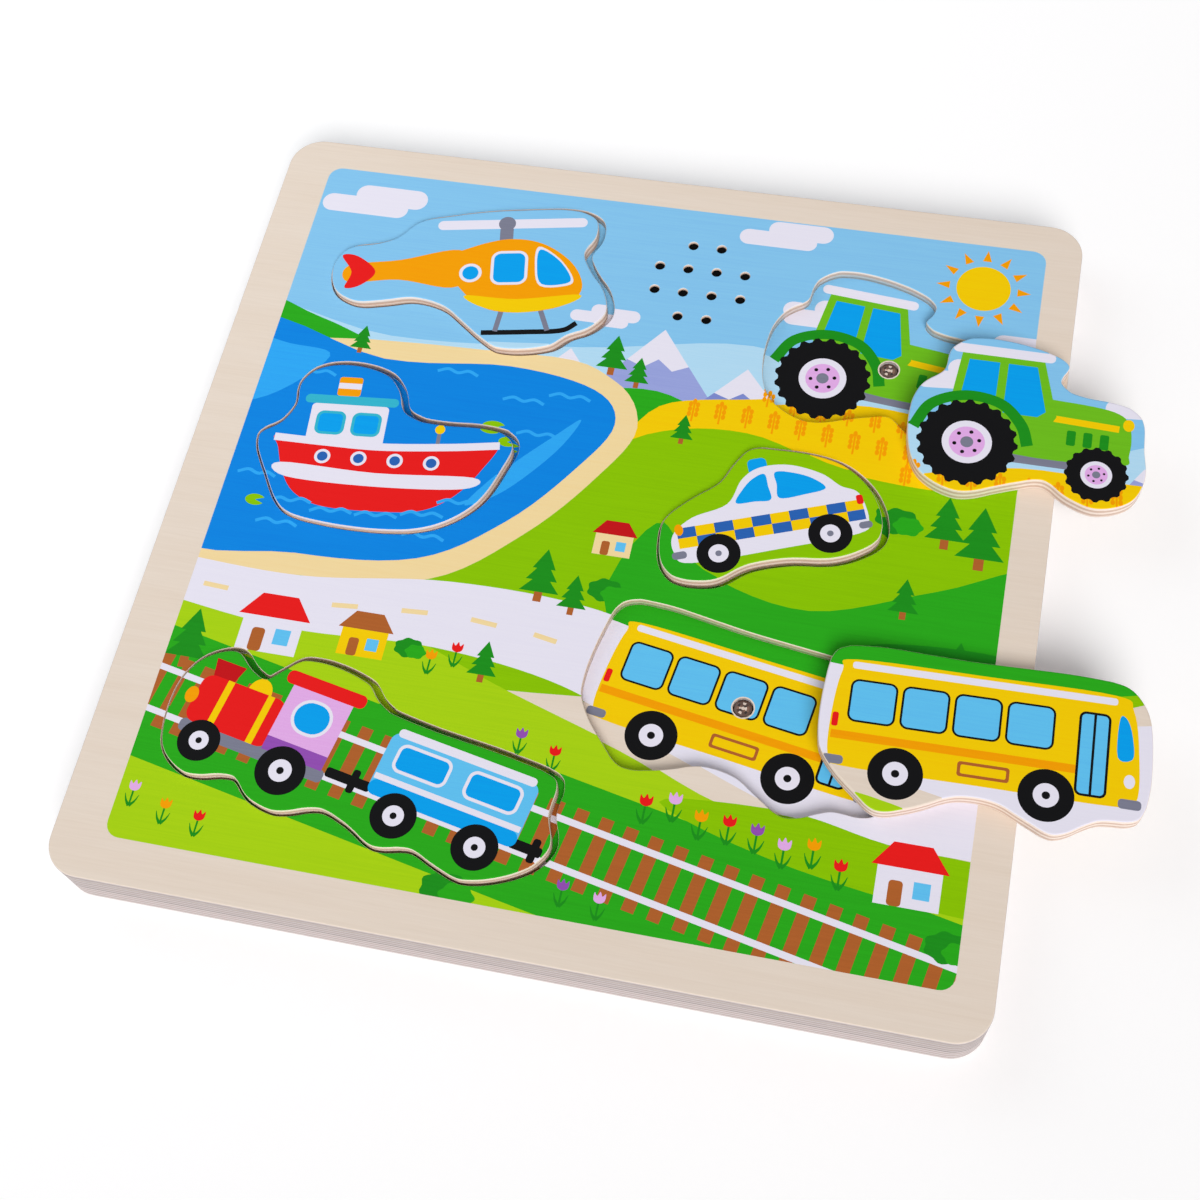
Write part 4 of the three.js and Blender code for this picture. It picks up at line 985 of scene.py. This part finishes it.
def birch_plywood(name="sanded_birch_plywood", dark="#dcccbc", pale="#e7d9cb"):
    """Birch plywood, sanded and clear lacquered: creamy face veneer with fine streaks along X,
    and on its edges thin plies in turn pale and brownish, with dark glue lines between them.
    Its streaks are drawn a few times coarser than birch has them, so that they show."""
    material, tree, shader, where = new_material(name)
    grain = wood_grain(tree, where, along=22, across=0.7)
    broad = wood_grain(tree, where, along=120, across=9)
    fibres = wood_grain(tree, where, along=2.5, across=0.3)
    veneer = add_node(tree, "MixRGB", {"Fac": grain, "Color1": colour(dark), "Color2": colour(pale)})
    veneer = add_node(tree, "MixRGB", {"Fac": 0.1, "Color1": veneer, "Color2": broad}, blend_type="OVERLAY")

    # Plies are counted up from the board's lower side, and in a piece from its own
    level = add_node(tree, "SeparateXYZ", {0: where.outputs["Object"]}).outputs["Z"]
    shift = add_node(tree, "Attribute", attribute_name="ply_shift").outputs["Fac"]
    height = add_node(tree, "Math", {0: level, 1: shift}, operation="ADD")
    plies = add_node(tree, "Math", {0: height, 1: 1 / (PLY * MM)}, operation="MULTIPLY")
    within = add_node(tree, "Math", {0: plies}, operation="FRACT")
    pair = add_node(tree, "Math", {0: plies, 1: 2.0}, operation="FLOORED_MODULO")
    odd = add_node(tree, "Math", {0: pair, 1: 1.0}, operation="GREATER_THAN")
    striped = []
    for tones in (SIDE_PLIES, CUT_PLIES):
        pale_ply, brown_ply = (
            add_node(tree, "MixRGB", {"Fac": fibres, "Color1": colour(deep), "Color2": colour(light)})
            for deep, light in tones)
        striped.append(add_node(tree, "MixRGB", {"Fac": odd, "Color1": pale_ply, "Color2": brown_ply}))
    side, cut = striped

    # The board's side: glue lines, the joint under the upper panels, and those panels darker
    joint = span("recess_floor_panel")[0] * MM
    glue = add_node(tree, "MapRange", {"Value": within, "From Max": 0.14, "To Min": 0.82})
    seam = add_node(tree, "Math", {0: height, 1: joint, 2: SEAM * MM}, operation="COMPARE")
    seam = add_node(tree, "MapRange", {"Value": seam, "To Min": 1.0, "To Max": 0.3})
    upper = add_node(tree, "Math", {0: height, 1: joint}, operation="GREATER_THAN")
    upper = add_node(tree, "MapRange", {"Value": upper, "To Min": 1.0, "To Max": 0.88})
    shade = add_node(tree, "Math", {0: glue, 1: seam}, operation="MULTIPLY")
    shade = add_node(tree, "Math", {0: shade, 1: upper}, operation="MULTIPLY")
    side = add_node(tree, "MixRGB", {"Fac": 1.0, "Color1": side, "Color2": shade}, blend_type="MULTIPLY")

    fresh = add_node(tree, "Attribute", attribute_name="fresh_cut").outputs["Fac"]
    edge = add_node(tree, "MixRGB", {"Fac": fresh, "Color1": side, "Color2": cut})
    facing = add_node(tree, "SeparateXYZ", {0: where.outputs["Normal"]}).outputs["Z"]
    flat = add_node(tree, "Math", {0: facing}, operation="ABSOLUTE")
    flat = add_node(tree, "MapRange", {"Value": flat, "From Min": 0.45, "From Max": 0.8})
    connect(tree, shader, {
        "Base Color": add_node(tree, "MixRGB", {"Fac": flat, "Color1": edge, "Color2": veneer}),
        "Roughness": add_node(tree, "MapRange", {"Value": grain, "To Min": 0.62, "To Max": 0.48}),
        "Normal": add_node(tree, "Bump", {"Height": grain, "Strength": 0.18, "Distance": 0.05 * MM}),
        "IOR": 1.48})
    return material


def lacquered_print():
    """Ink printed on birch under a satin lacquer: full flat colours, through which the fine
    streaks of the veneer show a little, darker in its pores, and a soft even gloss."""
    material, tree, shader, where = new_material("lacquered_print_on_birch")
    ink = add_node(tree, "Attribute", attribute_name="print")
    grain = wood_grain(tree, where, along=26, across=0.55)
    streak = add_node(tree, "MapRange", {
        "Value": grain, "From Min": 0.3, "From Max": 0.6, "To Min": 0.46, "To Max": 0.5})
    connect(tree, shader, {
        "Base Color": add_node(tree, "MixRGB", {"Fac": 1.0, "Color1": ink, "Color2": streak},
                               blend_type="OVERLAY"),
        "Roughness": add_node(tree, "MapRange", {"Value": grain, "To Min": 0.6, "To Max": 0.46}),
        "Normal": add_node(tree, "Bump", {"Height": grain, "Strength": 0.12, "Distance": 0.04 * MM}),
        "IOR": 1.5, "Specular IOR Level": 0.06})
    return material


def faceted_lens():
    """Clear cast resin over a light-sensitive cell: cut facets, each of one tone, under a hard gloss.
    The facet tones are painted glints in silver and brown, painted reflections over the cell's own brown."""
    material, tree, shader, where = new_material("faceted_resin_lens_painted_glints")
    # the print attribute here holds each facet's painted glint tone, which stands in for a reflection
    painted_glint = add_node(tree, "Attribute", attribute_name="print")
    specks = add_node(tree, "TexVoronoi", {"Vector": where.outputs["Object"], "Scale": 1 / (0.5 * MM)})
    connect(tree, shader, {
        "Base Color": add_node(tree, "MixRGB", {"Fac": 0.15, "Color1": painted_glint, "Color2": specks},
                               blend_type="OVERLAY"),
        "Roughness": add_node(tree, "MapRange", {"Value": specks, "To Min": 0.16, "To Max": 0.34}),
        "Metallic": 0.1, "IOR": 1.54, "Specular IOR Level": 0.3,
        "Coat Weight": 0.25, "Coat Roughness": 0.04})
    return material


def speckled(name, first, second, grain, roughness, metallic=0.0, depth=0.0, shine=0.5):
    """A plain-coloured material whose tone and gloss vary with a noise of a grain size in mm."""
    material, tree, shader, where = new_material(name)
    noise = add_node(tree, "TexNoise", {
        "Vector": where.outputs["Object"], "Scale": 1 / (grain * MM), "Detail": 3.0})
    smooth, rough = roughness
    connect(tree, shader, {
        "Base Color": add_node(tree, "MixRGB", {
            "Fac": noise, "Color1": colour(first), "Color2": colour(second)}),
        "Roughness": add_node(tree, "MapRange", {"Value": noise, "To Min": smooth, "To Max": rough}),
        "Normal": add_node(tree, "Bump", {"Height": noise, "Strength": 0.3, "Distance": depth * MM}),
        "Metallic": metallic, "Specular IOR Level": shine})
    return material


# Finishes of the record's slots: name, two tones, grain in mm, roughness from and to, metallic,
# depth of the grain in mm, and shine. Grains finer than the render shows are drawn coarser.
FINISHES = {
    # moulded ABS with a fine spark-eroded grain, drawn coarser than it is
    "black_plastic": ("moulded_black_abs", "#222226", "#2d2d31", 0.35, (0.42, 0.6), 0.0, 0.05),
    # zinc plating on steel, cloudy with a slight blue tint
    "steel": ("zinc_plated_steel", "#a9adb6", "#c9ccd2", 0.8, (0.26, 0.42), 1.0, 0.01),
    # bright nickel on spring steel, shiny and slightly warm
    "plated_contact": ("nickel_plated_steel", "#c9c3b2", "#dcd8cb", 0.9, (0.2, 0.32), 1.0, 0.01),
    # pressed and passivated steel sheet, grey with a soft shine
    "speaker_steel": ("pressed_steel", "#a4a8ae", "#bfc2c6", 1.2, (0.3, 0.45), 1.0, 0.01),
    # felted black paper pulp, dull and a little uneven
    "speaker_paper": ("felted_paper", "#222124", "#39373a", 0.5, (0.8, 0.95), 0.0, 0.06),
    # open black polyester cloth, which swallows the light
    "speaker_cloth": ("woven_black_cloth", "#030303", "#0a0a0b", 0.4, (0.85, 0.95), 0.0, 0.08, 0.05),
    # sintered ferrite, dull and slightly brown
    "ferrite": ("sintered_ferrite", "#242226", "#333034", 0.6, (0.6, 0.75), 0.0, 0.03),
    # green solder resist over glass laminate, smooth and glossy
    "circuit_laminate": ("green_solder_resist", "#14562d", "#1f7340", 0.9, (0.28, 0.4), 0.0, 0.02),
    # poured and moulded black epoxy, with a soft gloss
    "black_resin": ("black_epoxy", "#1c1c1f", "#29292d", 0.7, (0.25, 0.4), 0.0, 0.02),
    # printed metal sleeve of a dry cell, blue with a metallic sheen
    "cell_wrap": ("printed_cell_sleeve", "#33659f", "#4078bb", 4.0, (0.28, 0.36), 0.35),
    # soft PVC insulation, grey and half dull
    "lead_insulation": ("soft_pvc_lead", "#6d6e73", "#828388", 1.5, (0.45, 0.6), 0.0, 0.02),
}


def shared(name, maker):
    """A material made once and then found again by its name in the scene's list."""
    held = bpy.context.scene.puzzle_materials
    found = held.get(name)
    if found is None:
        found = held.add()
        found.name = name
        found.material = maker()
    return found.material


def slot_finish(slot):
    """The material of a record slot: the back board's coarser, yellower plywood, a row of the
    finishes, or else the board's own plywood."""
    if slot == "back_board":
        return shared(slot, lambda: birch_plywood("bare_back_plywood", "#cbb08f", "#dfc9ad"))
    if slot in FINISHES:
        return shared(slot, lambda: speckled(*FINISHES[slot]))
    return shared("wood", birch_plywood)


def printed_ply():
    """The two materials of a printed plate: its wood and its print."""
    return [shared("wood", birch_plywood), shared("print", lacquered_print)]


class MadeMaterial(bpy.types.PropertyGroup):
    """A finished material under the name it is asked for."""

    material: bpy.props.PointerProperty(
        name="Material", description="The finished material", type=bpy.types.Material,
    )


# Operators


class SOUND_PUZZLE_OT_face_panel(bpy.types.Operator):
    """Makes the printed face panel with its recesses and grille holes."""

    bl_idname = "sound_puzzle.face_panel"
    bl_label = "Face panel"

    def execute(self, context):
        sizes = context.scene.puzzle_board
        low, high = span("face_panel")
        reach = (sizes.board_ease / MM, sizes.opening_ease / MM)
        board, *openings = finer(rim_loops("face_panel", high))
        rims = [moved_rim(board, -reach[0]), *(moved_rim(rim, -reach[1]) for rim in openings)]
        area = plate(sizes.print_left / MM, sizes.print_front / MM, sizes.print_right / MM,
                     sizes.print_back / MM, sizes.print_corner / MM)
        made = slab("printed_face", rims, landscape(), eased(low, high, False), printed_ply(), area,
                    reach=reach, inked=INKED_STEPS)
        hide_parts("face_panel")
        return {"FINISHED"}


class SOUND_PUZZLE_OT_recess_prints(bpy.types.Operator):
    """Prints each recess floor with its vehicle, round the hole of its light sensor."""

    bl_idname = "sound_puzzle.recess_prints"
    bl_label = "Recess prints"

    def execute(self, context):
        film = context.scene.puzzle_board.film / MM
        low, high = span("face_panel")
        openings = finer(rim_loops("face_panel", high))[1:]
        picture = landscape()
        for name, (draw, home, _) in VEHICLES.items():
            gaps = [np.linalg.norm(rim.mean(0) - home[:2]) for rim in openings]
            rim = counter_clockwise(openings[int(np.argmin(gaps))])
            spot, radius = middle(f"light_sensor_{name}")
            rims = [moved_rim(rim, -PLAY), oval(*spot, radius + SENSOR_RING)]
            art = picture + placed(draw(), home)
            made = slab(f"recess_print_{name}", rims, art, [low + film, low], printed_ply())
        return {"FINISHED"}


class SOUND_PUZZLE_OT_pieces(bpy.types.Operator):
    """Makes the six printed vehicle pieces where they lie."""

    bl_idname = "sound_puzzle.pieces"
    bl_label = "Vehicle pieces"

    def execute(self, context):
        sizes = context.scene.puzzle_board
        ease = sizes.piece_ease / MM
        picture = landscape()
        for name, (draw, home, rest) in VEHICLES.items():
            node = f"{name}_piece"
            low, high = span(node)
            rim = moved_rim(closed_curve(rim_loops(node, high)[0], RIM_STEPS), -sizes.piece_trim / MM)
            art = placed(taken_from(picture, home) + draw(), rest)
            made = slab(f"{name}_shape", [rim], art, eased(low, high, True), printed_ply(), lift=low,
                        reach=(ease, ease), inked=INKED_STEPS)
            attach(made, node)
            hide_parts(node)
        return {"FINISHED"}


# Painted glints: tones painted on the lens facets in place of the reflections they would throw back, over
# the cell's own brown; each ring's share of the radius and its drop in mm
PAINTED_GLINTS = ("#241712", "#7a5a4a", "#432c23", "#d8c6b8", "#573e33")
FACETS = ((1.0, 0.9), (0.9, 0.35), (0.66, 0.12), (0.4, 0.04), (0.18, 0.0))
FACET_SIDES = 11


class SOUND_PUZZLE_OT_light_sensors(bpy.types.Operator):
    """Makes the light sensors, each a faceted clear lens over a dark cell, with painted glints on its
    facets.
    """

    bl_idname = "sound_puzzle.light_sensors"
    bl_label = "Light sensors"

    def execute(self, context):
        painted_glints = np.array([colour(code) for code in PAINTED_GLINTS])
        # the painted glint tones, which stand in for reflections, are dealt out so that facets side by side
        # mostly differ; two ends close the skin
        row, column = np.divmod(np.arange(FACET_SIDES * len(FACETS) + 2), FACET_SIDES)
        tints = painted_glints[(3 * column + 2 * row + row * column) % len(painted_glints)]
        for name in VEHICLES:
            node = f"light_sensor_{name}"
            low, high = span(node)
            spot, radius = middle(node)
            loops = [level_loop(oval(*spot, radius * share, count=FACET_SIDES), high - drop)
                     for share, drop in ((1.0, high - low), *FACETS)]
            made = loft(f"photocell_{name}", loops, [shared("lens", faceted_lens)], "board", tints)
            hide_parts(node)
        return {"FINISHED"}


# Rings of a cloth: share of the hole's radius and height over the face panel's lower side in mm
CLOTH_RINGS = ((1.0, 2.6), (1.0, 2.8), (0.7, 2.86), (0.3, 2.9))
CLOTH_SIDES = 20


class SOUND_PUZZLE_OT_speaker_cloth(bpy.types.Operator):
    """Makes the black cloth that closes the grille holes against dust."""

    bl_idname = "sound_puzzle.speaker_cloth"
    bl_label = "Speaker cloth"

    def execute(self, context):
        low, high = span("face_panel")
        holes = [loop for loop in rim_loops("face_panel", high) if np.ptp(loop[:, 0]) < GRILLE_HOLE]
        holes.sort(key=lambda loop: tuple(loop.mean(0).round()))
        for number, hole in enumerate(holes, 1):
            radius = np.ptp(hole[:, 0]) / 2 - PLAY
            loops = [level_loop(oval(*hole.mean(0), radius * share, count=CLOTH_SIDES), low + rise)
                     for share, rise in CLOTH_RINGS]
            made = loft(f"speaker_cloth_{number}", loops, [slot_finish("speaker_cloth")], "board")
        return {"FINISHED"}


# A screw head's cross slot: half its length and half its width, in shares of the head's radius
SLOT_REACH = 0.52
SLOT_WIDTH = 0.17
# Rings of the slot with their share of the cross, and of the round head with their share of the
# radius; then the height of each over the head's face, in shares of the radius
SLOT_RINGS = ((0.7, 0.3), (1.0, 0.0))
HEAD_RINGS = ((0.86, 0.0), (0.97, 0.06), (1.0, 0.2))
# Where the shank starts, its size and that of its tip, in shares too, and the tip's length in mm
SHANK_START = 0.75
SHANK_SIZE = 0.45
TIP_SIZE = 0.1
SCREW_TIP = 0.6
# Added to a direction's parts, so that none is zero when a length is divided by it
NOT_ZERO = 1e-9


def cross_slot(way, reach, width):
    """Outline of a cross slot: along each way from the middle, as far as the farther of two
    crossed bars goes, each of which ends at half its length and half its width."""
    arm = np.abs(way) + NOT_ZERO
    lying = np.minimum(reach / arm[:, 0], width / arm[:, 1])
    standing = np.minimum(width / arm[:, 0], reach / arm[:, 1])
    return np.maximum(lying, standing)[:, None] * way


class SOUND_PUZZLE_OT_screws(bpy.types.Operator):
    """Makes the cross-slotted screws that show on the underside."""

    bl_idname = "sound_puzzle.screws"
    bl_label = "Screws"

    def execute(self, context):
        # ways to the corners of the cross and to some points between them, for each quarter turn
        tilt = math.atan2(SLOT_WIDTH, SLOT_REACH)
        quarter = np.array([0, tilt, (tilt + math.pi / 4) / 2, math.pi / 4,
                            (3 * math.pi / 4 - tilt) / 2, math.pi / 2 - tilt])
        angle = np.concatenate([quarter + turn * math.pi / 2 for turn in range(4)])
        way = np.stack([np.cos(angle), np.sin(angle)], 1)
        cross = cross_slot(way, SLOT_REACH, SLOT_WIDTH)
        cross_rings = [(size * cross, height) for size, height in SLOT_RINGS]
        backs = sorted(name for name in NODES if name.startswith("back_screw"))
        for node in [*backs, "battery_door_screw"]:
            low, high = span(node)
            spot, radius = middle(node)
            tall = (high - low) / radius
            shank = ((SHANK_SIZE, SHANK_START), (SHANK_SIZE, tall - SCREW_TIP / radius), (TIP_SIZE, tall))
            rings = cross_rings + [(size * way, height) for size, height in HEAD_RINGS + shank]
            loops = [level_loop(radius * ring + spot, low + radius * height) for ring, height in rings]
            body = node if node in frame["bodies"] else "board"
            made = loft(f"{node}_head", loops, [slot_finish("steel")], body)
            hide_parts(node)
        return {"FINISHED"}


# Finger ribs: the solid they stand on, how many, width and height in mm, share of its length
GRIP_RIBS = (("battery_door", 6, 1.6, 0.3, 0.5), ("switch_slider", 3, 0.5, 0.4, 1.0))
# A rib's rings: inset as a share of its width, height as a share of its own; then its root in mm
RIB_RINGS = ((0.2, -1.0), (0.06, -0.8), (0.0, -0.4))
RIB_ROOT = 0.1
# A rib's length as a share of the solid's width, and the flat left between its round ends in mm
RIB_SHARE = 0.62
RIB_FLAT = 0.01


class SOUND_PUZZLE_OT_grips(bpy.types.Operator):
    """Makes the finger ribs on the battery door and on the switch slider."""

    bl_idname = "sound_puzzle.grips"
    bl_label = "Grip ribs"

    def execute(self, context):
        for node, ribs, wide, tall, share in GRIP_RIBS:
            low, _ = span(node)
            face = rim_loops(node, low)[0]
            (x0, y0), (x1, y1) = face.min(0), face.max(0)
            half = np.array([wide, RIB_SHARE * (y1 - y0)]) / 2
            pitch = share * (x1 - x0) / (ribs + 0.5)
            rings = [(wide * inset, tall * height) for inset, height in RIB_RINGS] + [(0.0, RIB_ROOT)]
            for rib in range(ribs):
                spot = np.array([(x0 + x1) / 2 + (rib - (ribs - 1) / 2) * pitch, (y0 + y1) / 2])
                loops = [level_loop(plate(*(spot - half + inset), *(spot + half - inset),
                                          wide / 2 - inset - RIB_FLAT), low + height)
                         for inset, height in rings]
                made = loft(f"{node}_rib_{rib + 1}", loops, [slot_finish("black_plastic")], node)
        return {"FINISHED"}


class SOUND_PUZZLE_OT_solid_finishes(bpy.types.Operator):
    """Gives every solid that shows as it is the finish of its material slot."""

    bl_idname = "sound_puzzle.solid_finishes"
    bl_label = "Solid finishes"

    def execute(self, context):
        slots = {row["node"]: row["material_slot"] for row in frame["record"]["subparts"]}
        for name, node in NODES.items():
            node.data.materials.clear()
            node.data.materials.append(slot_finish(slots[name]))
        return {"FINISHED"}


def seen_share(tree, unseen, seen):
    """A strength with one value for what the eye, a mirror or glass sees, and one for all else."""
    path = add_node(tree, "LightPath").outputs
    eye = add_node(tree, "Math", {0: path["Is Camera Ray"], 1: path["Is Glossy Ray"]}, operation="MAXIMUM")
    eye = add_node(tree, "Math", {0: eye, 1: path["Is Transmission Ray"]}, operation="MAXIMUM")
    return add_node(tree, "MapRange", {"Value": eye, "To Min": unseen, "To Max": seen})


def set_up(name, data, place=(0, 0, 0), turn=(0, 0, 0)):
    """Puts the floor, a lamp or the camera into the scene."""
    made = bpy.data.objects.new(name, data)
    made.location = place
    made.rotation_euler = turn
    bpy.context.scene.collection.objects.link(made)
    return made


def towards(way):
    """The turn that points a lamp along a way."""
    return Vector(way).to_track_quat("-Z", "Y").to_euler()


class SOUND_PUZZLE_OT_stage(bpy.types.Operator):
    """Sets up the floor, the two lamps, the even room light and the camera."""

    bl_idname = "sound_puzzle.stage"
    bl_label = "Stage"

    def execute(self, context):
        scene = context.scene
        stage = scene.puzzle_stage
        mesh = bpy.data.meshes.new("floor")
        corners = FLOOR_REACH * np.array([(-1, -1, 0), (1, -1, 0), (1, 1, 0), (-1, 1, 0)])
        mesh.from_pydata(corners.tolist(), [], [(0, 1, 2, 3)])
        # matt white paint, which the eye sees lifted to pure white
        material, tree, shader, _ = new_material("white_studio_floor")
        connect(tree, shader, {
            "Base Color": (*stage.floor, 1.0), "Roughness": 0.9, "Specular IOR Level": 0.0,
            "Emission Color": (1, 1, 1, 1), "Emission Strength": seen_share(tree, 0.0, stage.floor_lift)})
        mesh.materials.append(material)
        floor = set_up("floor", mesh, (0, 0, -FLOOR_DROP))

        key = bpy.data.lights.new("key_light", "SUN")
        key.energy = stage.key_strength
        key.color = stage.key_tint
        key.angle = stage.key_spread
        set_up("key_light", key, turn=towards(stage.key_way))

        side = bpy.data.lights.new("side_light", "AREA")
        side.shape = "DISK"
        side.size = stage.side_size
        side.energy = stage.side_power
        side.color = stage.side_tint
        aim = Vector(stage.side_aim) - Vector(stage.side_place)
        set_up("side_light", side, stage.side_place, towards(aim))

        world = bpy.data.worlds.new("white_room")
        world.use_nodes = True
        tree = world.node_tree
        connect(tree, tree.nodes["Background"], {
            "Color": (*stage.room_tint, 1.0), "Strength": seen_share(tree, stage.room_light, 1.0)})
        scene.world = world

        camera = bpy.data.cameras.new("camera")
        camera.lens = stage.lens
        camera.sensor_width = FILM_WIDTH
        camera.clip_start = NEAREST
        scene.camera = set_up("camera", camera, stage.eye, stage.gaze)
        scene.view_settings.view_transform = "Standard"
        return {"FINISHED"}


STEPS = (SOUND_PUZZLE_OT_solid_finishes, SOUND_PUZZLE_OT_face_panel, SOUND_PUZZLE_OT_recess_prints,
         SOUND_PUZZLE_OT_pieces, SOUND_PUZZLE_OT_light_sensors, SOUND_PUZZLE_OT_speaker_cloth,
         SOUND_PUZZLE_OT_screws, SOUND_PUZZLE_OT_grips, SOUND_PUZZLE_OT_stage)


class SOUND_PUZZLE_PT_panel(bpy.types.Panel):
    """Lists the steps and the settings."""

    bl_idname = "SOUND_PUZZLE_PT_panel"
    bl_label = "Sound puzzle"
    bl_space_type = "VIEW_3D"
    bl_region_type = "UI"
    bl_category = "Sound puzzle"

    def draw(self, context):
        for step in STEPS:
            self.layout.operator(step.bl_idname)
        for group in (context.scene.puzzle_board, context.scene.puzzle_inks, context.scene.puzzle_stage):
            for key in group.__annotations__:
                self.layout.prop(group, key)


CLASSES = (InkSettings, BoardSettings, StageSettings, MadeMaterial, *STEPS, SOUND_PUZZLE_PT_panel)


def register():
    """Registers the classes and gives the scene their settings."""
    for made in CLASSES:
        bpy.utils.register_class(made)
    bpy.types.Scene.puzzle_inks = bpy.props.PointerProperty(type=InkSettings)
    bpy.types.Scene.puzzle_board = bpy.props.PointerProperty(type=BoardSettings)
    bpy.types.Scene.puzzle_stage = bpy.props.PointerProperty(type=StageSettings)
    bpy.types.Scene.puzzle_materials = bpy.props.CollectionProperty(type=MadeMaterial)


def unregister():
    """Takes the settings and the classes away again."""
    for name in ("puzzle_inks", "puzzle_board", "puzzle_stage", "puzzle_materials"):
        delattr(bpy.types.Scene, name)
    for made in reversed(CLASSES):
        bpy.utils.unregister_class(made)


def main():
    """Runs every step in order."""
    register()
    for step in STEPS:
        group, name = step.bl_idname.split(".")
        getattr(getattr(bpy.ops, group), name)()


if __name__ == "__main__":
    main()
